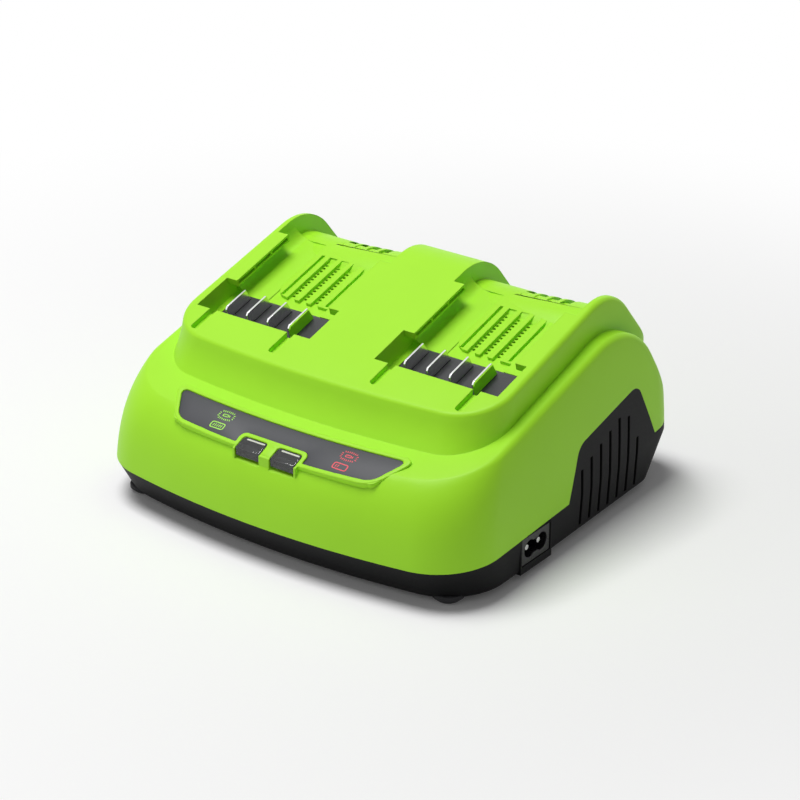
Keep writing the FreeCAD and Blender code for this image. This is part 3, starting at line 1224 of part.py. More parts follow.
spokes = []
for index in range(4):
    spoke = block(f"fan_spoke_{index + 1}", "Sizes.fan_web", "Sizes.fan_spoke", "Sizes.fan_size / 2")
    spoke.Placement = Placement(Vector(), Rotation(Vector(1, 0, 0), 45 + 90 * index), Vector())
    spokes.append(place(spoke, "Sizes.fan_inner",
                        f"{fan_y} - Sizes.fan_spoke / 2 * {round(math.cos(math.radians(45 + 90 * index)), 6)}",
                        f"{fan_z} - Sizes.fan_spoke / 2 * {round(math.sin(math.radians(45 + 90 * index)), 6)}"))
fan_hub_plate = fan_rod("fan_hub_plate", "Sizes.fan_cup", "0", "Sizes.fan_web")
fan_tube = fan_rod("fan_tube", "Sizes.fan_tube", "0", "Sizes.fan_depth - Sizes.fan_web - 2 * Sizes.clearance")
spider = common("fan_spider", fuse("fan_spider_whole", spokes + [fan_hub_plate, fan_tube]),
                fan_rod("fan_spider_limit", "Sizes.fan_bore + Sizes.wall / 3", "0", "Sizes.fan_depth"))
fan_frame_solid = fuse("fan_frame_solid", [cut("fan_ring_solid", fan_box, fan_rod("fan_throat", "Sizes.fan_bore",
                       "-Sizes.wall", "2 * Sizes.fan_depth")), spider])
fan_frame = cut("fan_frame", fan_frame_solid, fan_rod("fan_bearing_bore", "Sizes.fan_shaft + Sizes.fan_fit",
                "-Sizes.wall", "2 * Sizes.fan_depth"))
fan_stator = cut("fan_stator", fan_rod("fan_stator_solid", "Sizes.fan_stator", "Sizes.fan_web + Sizes.clearance",
                 "Sizes.fan_depth - 2.4 * Sizes.fan_web"),
                 fan_rod("fan_stator_bore", "Sizes.fan_tube + Sizes.clearance", "0", "Sizes.fan_depth"))
cup_start = "Sizes.fan_web + 2 * Sizes.clearance"
cup_length = "Sizes.fan_depth - Sizes.fan_web - 4 * Sizes.clearance"
blades = []
for index in range(int(size("Sizes.fan_blades"))):
    vane = block(f"fan_vane_{index + 1}", "Sizes.fan_blade_chord", "Sizes.fan_blade_thickness", "Sizes.fan_bore")
    turn = Rotation(Vector(1, 0, 0), 360 * index / size("Sizes.fan_blades"))
    lean = Rotation(Vector(0, 0, 1), size("Sizes.fan_blade_pitch"))
    start = turn.multVec(lean.multVec(Vector(-size("Sizes.fan_blade_chord") / 2, 0, 0)))
    vane.Placement = Placement(Vector(), turn.multiply(lean))
    blades.append(place(vane, f"Sizes.fan_inner + Sizes.fan_web + 2 * Sizes.clearance + ({cup_length}) / 2"
                        f" + Sizes.fan_blade_chord * {round(start.x / size('Sizes.fan_blade_chord'), 6)}",
                        f"{fan_y} + Sizes.fan_blade_chord * {round(start.y / size('Sizes.fan_blade_chord'), 6)}",
                        f"{fan_z} + Sizes.fan_blade_chord * {round(start.z / size('Sizes.fan_blade_chord'), 6)}"))
vanes = common("fan_vanes", fuse("fan_vanes_whole", blades), fan_rod("fan_sweep", "Sizes.fan_blade_reach", cup_start,
               cup_length))
cup = fan_rod("fan_cup_solid", "Sizes.fan_hub", cup_start, cup_length)
rotor_whole = fuse("fan_rotor_whole", [vanes, cup])
rotor_open = cut("fan_rotor_open", rotor_whole, fan_rod("fan_cup_space", "Sizes.fan_cup", "0",
                 "Sizes.fan_depth - 2 * Sizes.fan_ring - 2 * Sizes.clearance"))
fan_rotor = fuse("fan_rotor", [rotor_open, fan_rod("fan_shaft", "Sizes.fan_shaft", "Sizes.fan_ring",
                 "Sizes.fan_depth - 2 * Sizes.fan_ring")])

# Leads held at both ends, with round bends

bend_radii = []


def lead(name, route):
    """Round lead along straight runs that tangent arcs join."""
    bend = size("Sizes.lead_bend")
    points = [Vector(*(size(value) for value in point)) for point in route]
    edges, start = [], points[0]
    for before, corner, after in zip(points, points[1:], points[2:]):
        toward, away = (corner - before).normalize(), (after - corner).normalize()
        turn = toward.getAngle(away)
        cut_back = bend * math.tan(turn / 2)
        first, last = corner - toward * cut_back, corner + away * cut_back
        inward = (away - toward).normalize()
        centre = corner + inward * (bend / math.cos(turn / 2))
        edges += [Part.LineSegment(start, first).toShape(),
                  Part.Arc(first, centre - inward * bend, last).toShape()]
        bend_radii.append(bend)
        start = last
    edges.append(Part.LineSegment(start, points[-1]).toShape())
    circle = Part.Circle(points[0], points[1] - points[0], size("Sizes.lead_round"))
    tube = doc.addObject("Part::Feature", name)
    tube.Shape = Part.Wire(edges).makePipeShell([Part.Wire(circle.toShape())], True, False)
    return tube


pin_end = ("Sizes.inlet_pad_reach - Sizes.inlet_set_back - Sizes.inlet_body_depth - Sizes.wall"
           " - Sizes.pin_set_back")
inlet_leads = gather("inlet_leads", [
    lead(f"inlet_lead_{label}", [
        (pin_end, y_place, "Sizes.inlet_height"), ("Sizes.lead_turn", y_place, "Sizes.inlet_height"),
        ("Sizes.lead_turn", y_place, "Sizes.lead_rise"), ("Sizes.lead_landing", y_place, "Sizes.lead_rise"),
        ("Sizes.lead_landing", y_place, board_top)])
    for label, y_place in (("front", "Sizes.inlet_place - Sizes.pin_pitch / 2"),
                           ("rear", "Sizes.inlet_place + Sizes.pin_pitch / 2"))])
tail_along = "(-(Sizes.blade_front + Sizes.blade_rear) / 2)"
tail_above = "(-Sizes.bay_depth - Sizes.block_height - Sizes.blade_tail)"
tail_y = f"({tail_along} * cos(Sizes.deck_tilt) - {tail_above} * sin(Sizes.deck_tilt))"
tail_z = f"(Sizes.deck_height + {tail_along} * sin(Sizes.deck_tilt) + {tail_above} * cos(Sizes.deck_tilt))"
output_leads = []
for side_name, side, carried in (("left", -1, (2, 3)), ("right", 1, (0, 1))):
    pair = []
    for index in carried:
        x_place = f"{side} * Sizes.bay_pitch / 2 + Sizes.blade_first + {index} * Sizes.blade_pitch"
        drop = f"({tail_z} - (Sizes.output_landing - {tail_y}) / tan(Sizes.deck_tilt))"
        pair.append(lead(f"output_lead_{side_name}_{index + 1}", [
            (x_place, tail_y, tail_z), (x_place, "Sizes.output_landing", drop),
            (x_place, "Sizes.output_landing", board_top)]))
    output_leads.append(gather(f"output_leads_{side_name}", pair))
print("lead bend radii, mm:", sorted(set(bend_radii)))

# Screws and feet

housing_screws = []
for corner_name, x_place, y_place, boss in bosses:
    head = rod(f"housing_head_{corner_name}", "Sizes.screw_head", "Sizes.head_height")
    place(head, x_place, y_place, "Sizes.foot_height + Sizes.head_seat - Sizes.head_height")
    shank = rod(f"housing_shank_{corner_name}", "Sizes.screw_shaft - Sizes.screw_play",
                f"Sizes.parting_height + {y_place} * tan(Sizes.parting_tilt) - Sizes.foot_height - Sizes.head_seat"
                " + Sizes.head_height / 2 + Sizes.screw_bite")
    place(shank, x_place, y_place, "Sizes.foot_height + Sizes.head_seat - Sizes.head_height / 2")
    housing_screws.append(fuse(f"housing_screw_{corner_name}", [head, shank]))

PARTS = {
    "top_cover": cover, "base_housing": base, "front_panel": front_panel,
    "lens_left": lenses[0], "lens_right": lenses[1],
    "terminal_block_left": terminal_blocks[0], "terminal_block_right": terminal_blocks[1],
    "terminal_blades_left": blade_sets[0], "terminal_blades_right": blade_sets[1],
    "ac_inlet": inlet, "inlet_pins": inlet_pins, "light_board": light_board, "indicator_lights": indicator_lights,
    "main_board": main_board, "transformer_core": transformer_core, "transformer_winding": transformer_winding,
    "bulk_capacitors": bulk_capacitors, "output_capacitors": output_capacitors, "line_choke": choke,
    "film_capacitor": film, "fuse": fuse_tube, "fuse_clips": fuse_clips, "primary_heatsink": sinks[0],
    "secondary_heatsink": sinks[1], "power_transistors": power_transistors, "fan_frame": fan_frame,
    "fan_stator": fan_stator, "fan_rotor": fan_rotor, "rubber_feet": gather("rubber_feet", feet),
    "inlet_leads": inlet_leads, "output_leads_left": output_leads[0], "output_leads_right": output_leads[1],
    "housing_screws": gather("housing_screws", housing_screws), "board_screws": gather("board_screws", board_screws),
}

# Every finished piece is moved so that the origin lies under the middle of the charger

nodes = []
for node, piece in PARTS.items():
    piece.Label = f"{node}_as_built"
    standing = doc.addObject("Part::Compound", f"node_{node}")
    standing.Label = node
    standing.Links = [piece]
    standing.setExpression("Placement.Base.y", "-Sizes.frame_shift")
    nodes.append(standing)
doc.recompute()

failed = [thing.Name for thing in doc.Objects if "Invalid" in thing.State or "Error" in thing.State]
if failed:
    raise RuntimeError(f"failed features: {failed}")
for standing in nodes:
    if standing.Shape.isNull() or not standing.Shape.isValid():
        raise RuntimeError(f"{standing.Label} has no valid shape")
os.makedirs("parts", exist_ok=True)
for standing in nodes:
    print(standing.Label, len(standing.Shape.Solids), round(standing.Shape.Volume))
    standing.Shape.exportStep(f"parts/{standing.Label}.step")
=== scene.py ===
"""Two-bay battery charger with a green moulded cover, a black base and a grey panel, in a plain studio."""

from math import atan2, cos, radians, sin

import bpy
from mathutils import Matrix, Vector


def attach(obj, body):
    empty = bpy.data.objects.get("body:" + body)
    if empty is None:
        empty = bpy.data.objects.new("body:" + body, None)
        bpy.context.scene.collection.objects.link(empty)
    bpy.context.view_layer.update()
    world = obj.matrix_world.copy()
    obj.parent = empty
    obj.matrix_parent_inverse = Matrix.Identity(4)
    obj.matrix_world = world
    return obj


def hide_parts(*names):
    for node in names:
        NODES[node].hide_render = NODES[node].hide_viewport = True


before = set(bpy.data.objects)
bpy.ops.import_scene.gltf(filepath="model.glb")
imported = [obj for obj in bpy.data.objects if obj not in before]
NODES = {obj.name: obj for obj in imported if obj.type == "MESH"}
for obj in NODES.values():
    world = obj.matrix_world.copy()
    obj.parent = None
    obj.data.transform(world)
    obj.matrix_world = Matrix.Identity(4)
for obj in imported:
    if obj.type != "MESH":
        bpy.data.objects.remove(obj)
MM = 0.001

bl_info = {
    "name": "Battery charger",
    "version": (1, 0, 0),
    "blender": (4, 5, 0),
    "location": "View3D > Sidebar > Charger",
    "description": "Models and finishes a two-bay battery charger around its packed frame",
    "category": "Object",
}


def linear(code):
    """Linear colour with alpha from an sRGB hex code."""
    parts = [int(code[start:start + 2], 16) / 255 for start in (1, 3, 5)]
    lights = [part / 12.92 if part <= 0.04045 else ((part + 0.055) / 1.055) ** 2.4 for part in parts]
    return (*lights, 1.0)


def colour_property(name, code, description):
    """Colour that a user may change, given as an sRGB hex code."""
    return bpy.props.FloatVectorProperty(
        name=name, description=description, subtype="COLOR", size=4, min=0.0, max=1.0, default=linear(code)
    )


def length_property(name, millimetres, description):
    """Length that a user may change, given in millimetres."""
    return bpy.props.FloatProperty(
        name=name, description=description, unit="LENGTH", min=0.0, precision=5, default=millimetres * MM
    )


class ChargerColours(bpy.types.PropertyGroup):
    """Colours of the charger's mouldings, inks and floor."""

    cover: colour_property("Cover", "#A7EA2C", "Moulded cover with the two bays")
    base: colour_property("Base", "#0B0B0C", "Moulded base with the louvred sides")
    panel: colour_property("Panel", "#3A3B40", "Label panel under the deck")
    ready: colour_property("Ready ink", "#A8F04A", "Pictograms left of the lenses")
    fault: colour_property("Fault ink", "#F23E50", "Pictograms right of the lenses")
    lens: colour_property("Lens", "#B9BFBA", "Clear smoky lenses of the indicator lights")
    block: colour_property("Terminal block", "#1B1C1F", "Terminal blocks at the front of the bays")
    floor: colour_property("Floor", "#FCFCFC", "Studio floor under the charger")


class ChargerSizes(bpy.types.PropertyGroup):
    """Sizes of the charger's fine detail."""

    vent_holes: bpy.props.IntProperty(
        name="Vent holes", description="Holes in each row of the bay floors", default=13, min=1, max=20
    )
    vent_hole_width: length_property("Vent hole width", 1.5, "Width of a vent hole across its channel")
    vent_hole_length: length_property("Vent hole length", 1.25, "Length of a vent hole along its channel")
    edge_soften: length_property("Edge rounding", 0.25, "Rounding of the small parts' sharp edges")
    ink_height: length_property("Ink height", 0.04, "Thickness of the printed pictograms")
    ink_stroke: length_property("Ink stroke", 0.5, "Line width of the printed pictograms")
    battery_width: length_property("Battery sign width", 7.4, "Width of the battery pictogram")
    battery_depth: length_property("Battery sign depth", 3.6, "Depth of the battery pictogram")
    rays_width: length_property("Rays width", 8.6, "Width of the ring of rays")
    rays_depth: length_property("Rays depth", 5.6, "Depth of the ring of rays")


# ---------------------------------------------------------------- helpers for meshes


def deselect():
    """Nothing is selected, so the next operator acts on its own piece alone."""
    bpy.ops.object.select_all(action="DESELECT")


def work_on(piece):
    """Makes a piece the only selected one and the active one."""
    deselect()
    piece.select_set(True)
    bpy.context.view_layer.objects.active = piece


def edit(piece):
    """Opens a piece in edit mode with its whole mesh selected."""
    work_on(piece)
    bpy.ops.object.mode_set(mode="EDIT")
    bpy.ops.mesh.select_mode(type="VERT")
    bpy.ops.mesh.select_all(action="SELECT")


def leave_edit():
    """Closes edit mode."""
    bpy.ops.object.mode_set(mode="OBJECT")


def added(name):
    """Names the piece that an add operator has just made."""
    piece = bpy.context.active_object
    piece.name = name
    return piece


def settle(piece, place, tilt=0.0, turn=0.0):
    """Moves a piece modelled at the origin to its place, and leaves that place in its mesh."""
    work_on(piece)
    piece.location = place
    piece.rotation_euler = (tilt, 0.0, turn)
    bpy.ops.object.transform_apply(location=True, rotation=True, scale=True)
    return piece


def twin(piece, name):
    """Copy of a piece with its own mesh."""
    other = piece.copy()
    other.data = piece.data.copy()
    other.name = name
    bpy.context.collection.objects.link(other)
    return other


def joined(pieces, name):
    """One piece from several."""
    deselect()
    for piece in pieces:
        piece.select_set(True)
    bpy.context.view_layer.objects.active = pieces[0]
    bpy.ops.object.join()
    return added(name)


def slab(name, width, depth, height, corner=0.0):
    """Flat block in millimetres with rounded corners, standing on its own origin, from a plane."""
    deselect()
    bpy.ops.mesh.primitive_plane_add(size=1.0)
    piece = added(name)
    edit(piece)
    bpy.ops.transform.resize(value=(width * MM, depth * MM, 1.0))
    if corner:
        bpy.ops.mesh.bevel(offset=corner * MM, segments=6, affect="VERTICES")
    raise_up(height * MM)
    return piece


def raise_up(height):
    """Extrudes the flat mesh being edited to a height and closes edit mode."""
    bpy.ops.mesh.select_all(action="SELECT")
    bpy.ops.mesh.extrude_region_move(TRANSFORM_OT_translate={"value": (0.0, 0.0, height)})
    bpy.ops.mesh.select_all(action="SELECT")
    bpy.ops.mesh.normals_make_consistent(inside=False)
    leave_edit()


def choose_points(piece, wanted):
    """Selects the points that a test picks by their place, for the next operator in edit mode."""
    bpy.ops.mesh.select_all(action="DESELECT")
    leave_edit()
    for vertex in piece.data.vertices:
        vertex.select = wanted(vertex.co)
    bpy.ops.object.mode_set(mode="EDIT")


def moulding(node, name, angle):
    """Merged copy of a CAD node that stands in for it, smooth up to an angle between its faces."""
    piece = bpy.data.objects.new(name, NODES[node].data.copy())
    bpy.context.collection.objects.link(piece)
    edit(piece)
    bpy.ops.mesh.remove_doubles(threshold=0.001 * MM)
    leave_edit()
    bpy.ops.mesh.customdata_custom_splitnormals_clear()
    bpy.ops.object.shade_smooth_by_angle(angle=radians(angle))
    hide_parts(node)
    return piece


def soften(piece, width, angle=40.0, segments=2):
    """Rounds a piece's sharp edges with an applied bevel."""
    edit(piece)
    bpy.ops.mesh.dissolve_limited(angle_limit=radians(0.5))
    leave_edit()
    rounding = piece.modifiers.new("rounding", "BEVEL")
    rounding.width = width
    rounding.segments = segments
    rounding.limit_method = "ANGLE"
    rounding.angle_limit = radians(angle)
    rounding.miter_outer = "MITER_ARC"
    bpy.ops.object.modifier_apply(modifier=rounding.name)
    bpy.ops.object.shade_smooth_by_angle(angle=radians(angle))
    return piece


def carve(piece, cutter):
    """Cuts a cutter out of a piece."""
    work_on(piece)
    cut = piece.modifiers.new("cut", "BOOLEAN")
    cut.operation = "DIFFERENCE"
    cut.solver = "EXACT"
    cut.object = cutter
    bpy.ops.object.modifier_apply(modifier=cut.name)
    bpy.data.objects.remove(cutter)


def finish_piece(piece, material, body="charger"):
    """Gives a piece its material, and lets it ride on its body."""
    piece.data.materials.clear()
    piece.data.materials.append(material)
    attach(piece, body)
    return piece


def finish_node(node, material):
    """Gives a CAD node that stays its material."""
    piece = NODES[node]
    if not piece.data.materials:
        piece.data.materials.append(material)
    for place in piece.material_slots:
        place.link = "OBJECT"
        place.material = material


# ---------------------------------------------------------------- places on the mouldings

COVER_ANGLE = 24.0  # faces of the cover that meet at less than this look smooth

# Millimetres and degrees. Across is measured from the charger's middle or, in a bay, from the bay's middle.
SHIFT_Y = -2.95  # from the solids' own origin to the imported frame's
CLEAR = 5.0  # how far a cutter stands out of what it cuts

# The deck slopes to the front. Each bay's floor lies under it, with three channels in a raised vent panel.
DECK_TILT, DECK_HEIGHT = 15.8, 85.5
BAY_MIDDLES = {"left": -49.3, "right": 49.3}
BAY_DEPTH, CHANNEL_DEPTH = 10.0, 1.5
CHANNEL_PLACES = (-4.6, 2.0, 8.6)
CHANNEL_ENDS = (2.4, 34.0)
CHANNEL_MARGIN = 1.0
HOLE_SHIFT, HOLE_SIDES = -1.05, 12
TICK_SHIFT, TICK_LIFT, TICK_SIZE = 1.7, 0.4, (0.7, 0.5, 1.4)
MOUTH_WIDTH, MOUTH_SIZE, MOUTH_FRONT, MOUTH_DROP = 4.0, 3.0, 2.0, 0.06
SCOOP_LEFT, SCOOP_FRONT, SCOOP_LENGTH, SCOOP_HEIGHT = -25.3, -4.9, 46.0, 4.0
RAISED_LEFT, RAISED_FRONT, RAISED_HEIGHT = -14.6, 1.1, 1.38
RAISED_CORNER, RAISED_SIZE = 7.5, 60.0
STRIP_WIDTH, STRIP_OVERLAP = 31.0, 8.5

# A rounded lip closes each bay at the rear, tapered at its left end and parted by notches.
LIP_ROUND, LIP_Y, LIP_Z, LIP_LENGTH = 22.0, 44.0, 68.0, 63.2
LIP_ROOT, LIP_SIDES, LIP_TAPER = 66.0, 96, 0.84
NOTCHES, NOTCH_WIDTH, NOTCH_PITCH, NOTCH_SHIFT = 4, 4.5, 6.8, 4.4
NOTCH_BACK, NOTCH_DEPTH, NOTCH_HEIGHT, NOTCH_ROOT, NOTCH_CORNER = 24.0, 50.0, 40.0, 60.0, 1.0

# The label panel is bowed at the front and back, in a green rim that arches behind the two lenses. The
# wells and windows that hold the lenses are cut open to the front.
PANEL_TILT, PANEL_HEIGHT = 24.2, 83.2
PANEL_BACK_HALF, PANEL_FRONT_HALF = 61.0, 52.0
PANEL_BACK_ENDS, PANEL_BACK_MIDDLE = -68.9, -71.5
PANEL_FRONT_ENDS, PANEL_FRONT_MIDDLE = -84.0, -86.8
PANEL_CORNER, PANEL_STEPS = 4.2, 12
BACK_SPLAY, FRONT_SPLAY = 1.77, 0.57  # how much each half widens for a millimetre that the plate grows
RECESS_DEPTH, LABEL_GAP, LABEL_THICKNESS = 1.0, 0.1, 0.95
RIM_WIDTH, RIM_HEIGHT, RIM_ROOT, RIM_CORNER = 2.1, 0.55, 3.0, 1.8
ARCH_GAP, ARCH_CORNER, WELL_FRONT, WELL_DEPTH = 2.2, 3.0, -96.0, 8.0
WINDOW_GAP, WINDOW_DEPTH, WINDOW_CORNER = 0.15, 4.0, 0.8

# The lenses stand through the rim's front edge, each with a pale strip across its top as a painted highlight.
LENS_MIDDLE, LENS_WIDTH, LENS_BACK, LENS_TOP = 9.3, 12.8, -82.6, 0.34
LENS_REACH, LENS_FRONT_BAND = 0.7, 0.2
HIGHLIGHT_WIDTH, HIGHLIGHT_DEPTH, HIGHLIGHT_HEIGHT, HIGHLIGHT_CORNER = 9.6, 0.8, 0.12, 0.3
HIGHLIGHT_SHIFT, HIGHLIGHT_BACK = 0.7, 1.1

# The pictograms stand in two rows: rays behind, batteries in front.
READY_PLACE, FAULT_PLACE = -31.6, 34.4
BATTERY_ROW, RAY_ROW, RAY_SHIFT = -81.6, -75.5, 0.5
FULL_BARS, READY_BARS, FAULT_BARS = 5, 5, 2

# A green copy of the last blade of each terminal block stands just beside it, a painted reflection of the
# green cover on that blade.
REFLECTION_REACH, REFLECTION_SHIFT, REFLECTION_DROP = 4.0, 0.6, 0.4


def on_slope(tilt, height, x, along, above):
    """Point in metres from millimetres across, along and square to a sloping face."""
    turn = radians(tilt)
    y = along * cos(turn) - above * sin(turn) + SHIFT_Y
    z = height + along * sin(turn) + above * cos(turn)
    return Vector((x, y, z)) * MM


def on_deck(x, along, above):
    """Point on the deck's slope."""
    return on_slope(DECK_TILT, DECK_HEIGHT, x, along, above)


def on_panel(x, along, above=0.0):
    """Point on the label panel's slope."""
    return on_slope(PANEL_TILT, PANEL_HEIGHT, x, along, above)


def panel_plate(name, grow, low, high, corner):
    """Plate in the panel's plane with bowed long edges, slanting ends and rounded corners."""
    back = (PANEL_BACK_HALF + BACK_SPLAY * grow, PANEL_BACK_ENDS + grow, PANEL_BACK_MIDDLE + grow)
    front = (PANEL_FRONT_HALF + FRONT_SPLAY * grow, PANEL_FRONT_ENDS - grow, PANEL_FRONT_MIDDLE - grow)
    deselect()
    bpy.ops.mesh.primitive_grid_add(x_subdivisions=PANEL_STEPS, y_subdivisions=1, size=2.0)
    plate = added(name)
    corners = []
    for vertex in plate.data.vertices:
        share = vertex.co.x
        half, ends, middle = back if vertex.co.y > 0 else front
        vertex.co = Vector((share * half, middle + (ends - middle) * share ** 2, 0.0)) * MM
        if abs(share) > 0.99:
            corners.append(vertex.co.copy())
    edit(plate)
    bpy.ops.mesh.dissolve_faces()
    choose_points(plate, lambda point: any((point - place).length < 0.01 * MM for place in corners))
    bpy.ops.mesh.bevel(offset=corner * MM, segments=8, affect="VERTICES")
    raise_up((high - low) * MM)
    return settle(plate, on_panel(0.0, 0.0, low), radians(PANEL_TILT))


def panel_block(name, x, width, back, front, low, high, corner):
    """Rounded block in the panel's plane from its back edge to its front edge."""
    block = slab(name, width, back - front, high - low, corner)
    return settle(block, on_panel(x, (back + front) / 2, low), radians(PANEL_TILT))


def lens_blocks(name, grow, depth, corner):
    """One cutter at each lens, larger than it by a margin, to a depth and open to the front."""
    width, back = LENS_WIDTH + 2 * grow, LENS_BACK + grow
    return [
        panel_block(f"{name}_{index}", side * LENS_MIDDLE, width, back, WELL_FRONT, -depth, CLEAR, corner)
        for index, side in enumerate((-1.0, 1.0))
    ]


def arch_block(name, grow, low, high):
    """Block round both lenses, whose back is the green arch behind them."""
    width = 2 * LENS_MIDDLE + LENS_WIDTH + 2 * grow
    return panel_block(name, 0.0, width, LENS_BACK + grow, WELL_FRONT, low, high, ARCH_CORNER)


def panel_recess(name, grow, low, high, corner):
    """Panel's plate with the arch round the lenses left out of it."""
    plate = panel_plate(name, grow, low, high, corner)
    carve(plate, arch_block("arch", ARCH_GAP - grow, low - 1.0, high + 1.0))
    return plate


# ---------------------------------------------------------------- helpers for materials


def add_node(tree, kind, links=(), **settings):
    """Adds a node; links and settings name its sockets, and settings may also name its own options."""
    node = tree.nodes.new(kind)
    for name, value in settings.items():
        if hasattr(node, name):
            setattr(node, name, value)
        else:
            node.inputs[name.replace("_", " ")].default_value = value
    for socket, source in dict(links).items():
        tree.links.new(source, node.inputs[socket])
    return node


def new_material(name, colour, roughness, **settings):
    """Empty material with a Principled shader, and its tree, shader and Object coordinates."""
    material = bpy.data.materials.new(name)
    material.use_nodes = True
    tree = material.node_tree
    tree.nodes.clear()
    output = add_node(tree, "ShaderNodeOutputMaterial")
    shader = add_node(tree, "ShaderNodeBsdfPrincipled", Base_Color=colour, Roughness=roughness, **settings)
    tree.links.new(shader.outputs["BSDF"], output.inputs["Surface"])
    places = add_node(tree, "ShaderNodeTexCoord").outputs["Object"]
    return material, tree, shader, places


def grain(tree, places, size, detail=2.0, rough=0.5):
    """Noise whose grains are a size in millimetres."""
    return add_node(
        tree, "ShaderNodeTexNoise", {"Vector": places},
        Scale=1.0 / (size * MM), Detail=detail, Roughness=rough
    ).outputs["Fac"]


def vary_roughness(tree, shader, pattern, low, high):
    """Lets a 0 to 1 pattern range over the surface's roughness."""
    span = add_node(tree, "ShaderNodeMapRange", {"Value": pattern}, To_Min=low, To_Max=high)
    tree.links.new(span.outputs["Result"], shader.inputs["Roughness"])


def vary_colour(tree, shader, pattern, dark, light):
    """Lets a 0 to 1 pattern blend the surface's colour from a dark one to a light one."""
    blend = add_node(tree, "ShaderNodeMix", data_type="RGBA")
    tree.links.new(pattern, blend.inputs[0])
    blend.inputs[6].default_value = dark
    blend.inputs[7].default_value = light
    tree.links.new(blend.outputs[2], shader.inputs["Base Color"])


def shaded(colour, share):
    """Colour made darker or lighter by a share."""
    return (*(min(part * share, 1.0) for part in colour[:3]), 1.0)


def raise_bump(tree, shader, height, depth, strength=1.0, normal=None):
    """Bump of a depth in millimetres from a pattern, over a normal if one is given."""
    bump = add_node(tree, "ShaderNodeBump", {"Height": height}, Strength=strength, Distance=depth * MM)
    if normal is not None:
        tree.links.new(normal, bump.inputs["Normal"])
    tree.links.new(bump.outputs["Normal"], shader.inputs["Normal"])


def rounded_normal(tree, radius):
    """Normal that catches light along sharp edges as a moulding's small radius does."""
    return add_node(tree, "ShaderNodeBevel", samples=6, Radius=radius * MM).outputs["Normal"]


# ---------------------------------------------------------------- materials


def moulded_cover(colours):
    """Satin ABS: an even green, faintly mottled by the pigment, over a fine spark-eroded grain."""
    material, tree, shader, places = new_material(
        "moulded_green_abs", colours.cover, 0.42, Specular_IOR_Level=0.25
    )
    cloud = grain(tree, places, 30.0, 3.0)
    vary_colour(tree, shader, cloud, shaded(colours.cover, 0.965), shaded(colours.cover, 1.03))
    fine = grain(tree, places, 0.45, 3.0, 0.6)
    vary_roughness(tree, shader, fine, 0.38, 0.52)
    raise_bump(tree, shader, fine, 0.012, 0.5, rounded_normal(tree, 0.45))
    return material


def moulded_base(colours):
    """Black ABS with a coarser texture than the cover, paler where its edges catch light."""
    material, tree, shader, places = new_material(
        "textured_black_abs", colours.base, 0.6, Specular_IOR_Level=0.16
    )
    cloud = grain(tree, places, 18.0, 3.0)
    vary_colour(tree, shader, cloud, shaded(colours.base, 0.85), shaded(colours.base, 1.2))
    fine = grain(tree, places, 0.6, 3.0, 0.65)
    vary_roughness(tree, shader, fine, 0.5, 0.7)
    raise_bump(tree, shader, fine, 0.02, 0.6, rounded_normal(tree, 0.4))
    return material


def label_film(colours):
    """Dark grey printed film with an even, faintly speckled matt face."""
    material, tree, shader, places = new_material(
        "grey_label_film", colours.panel, 0.5, Specular_IOR_Level=0.4
    )
    speckle = grain(tree, places, 0.2, 2.0)
    vary_colour(tree, shader, speckle, shaded(colours.panel, 0.93), shaded(colours.panel, 1.07))
    vary_roughness(tree, shader, speckle, 0.45, 0.58)
    raise_bump(tree, shader, speckle, 0.006, 0.4)
    return material


def screen_ink(name, colour):
    """Screen-printed ink, a little glossier than the film, with slight cover loss in its grain."""
    material, tree, shader, places = new_material(name, colour, 0.4)
    fleck = grain(tree, places, 0.15, 2.0)
    vary_colour(tree, shader, fleck, shaded(colour, 0.85), shaded(colour, 1.1))
    vary_roughness(tree, shader, fleck, 0.34, 0.48)
    return material


def smoky_polycarbonate(colours):
    """Clear smoky polycarbonate of the lenses, polished, with a trace of flow ripple."""
    material, tree, shader, places = new_material(
        "smoky_polycarbonate", colours.lens, 0.06, IOR=1.585, Transmission_Weight=1.0, Specular_IOR_Level=0.7
    )
    ripple = grain(tree, places, 3.5, 1.0)
    vary_roughness(tree, shader, ripple, 0.03, 0.1)
    raise_bump(tree, shader, ripple, 0.03, 0.3)
    return material


def filled_nylon(colours):
    """Glass-filled nylon of the terminal blocks: dark grey, matt, with pale fibre flecks."""
    material, tree, shader, places = new_material("glass_filled_nylon", colours.block, 0.55)
    # One fleck in 0.385 mm, coarser than the real fibres so that it shows.
    fibre = add_node(tree, "ShaderNodeTexVoronoi", {"Vector": places}, Scale=2600.0).outputs["Distance"]
    vary_colour(tree, shader, fibre, shaded(colours.block, 1.25), shaded(colours.block, 0.85))
    vary_roughness(tree, shader, fibre, 0.48, 0.62)
    raise_bump(tree, shader, fibre, 0.015, 0.4, rounded_normal(tree, 0.25))
    return material


def plated_contact():
    """Nickel-plated contact brass, bright, with fine rolling lines along the strip."""
    material, tree, shader, places = new_material("nickel_plated_brass", linear("#D9DADB"), 0.2, Metallic=1.0)
    stretch = add_node(tree, "ShaderNodeMapping", {"Vector": places}, Scale=(1.0, 0.06, 1.0))
    lines = grain(tree, stretch.outputs["Vector"], 0.12, 2.0)
    vary_colour(tree, shader, lines, linear("#CFD0D1"), linear("#EDEDEC"))
    vary_roughness(tree, shader, lines, 0.14, 0.28)
    raise_bump(tree, shader, lines, 0.004, 0.5, rounded_normal(tree, 0.15))
    return material


def glossy_socket():
    """Glossy black thermoplastic of the mains socket."""
    material, tree, shader, places = new_material("glossy_black_pbt", linear("#1A1A1B"), 0.28)
    flow = grain(tree, places, 2.2, 2.0)
    vary_colour(tree, shader, flow, linear("#161617"), linear("#202021"))
    vary_roughness(tree, shader, flow, 0.22, 0.36)
    raise_bump(tree, shader, flow, 0.01, 0.3, rounded_normal(tree, 0.25))
    return material


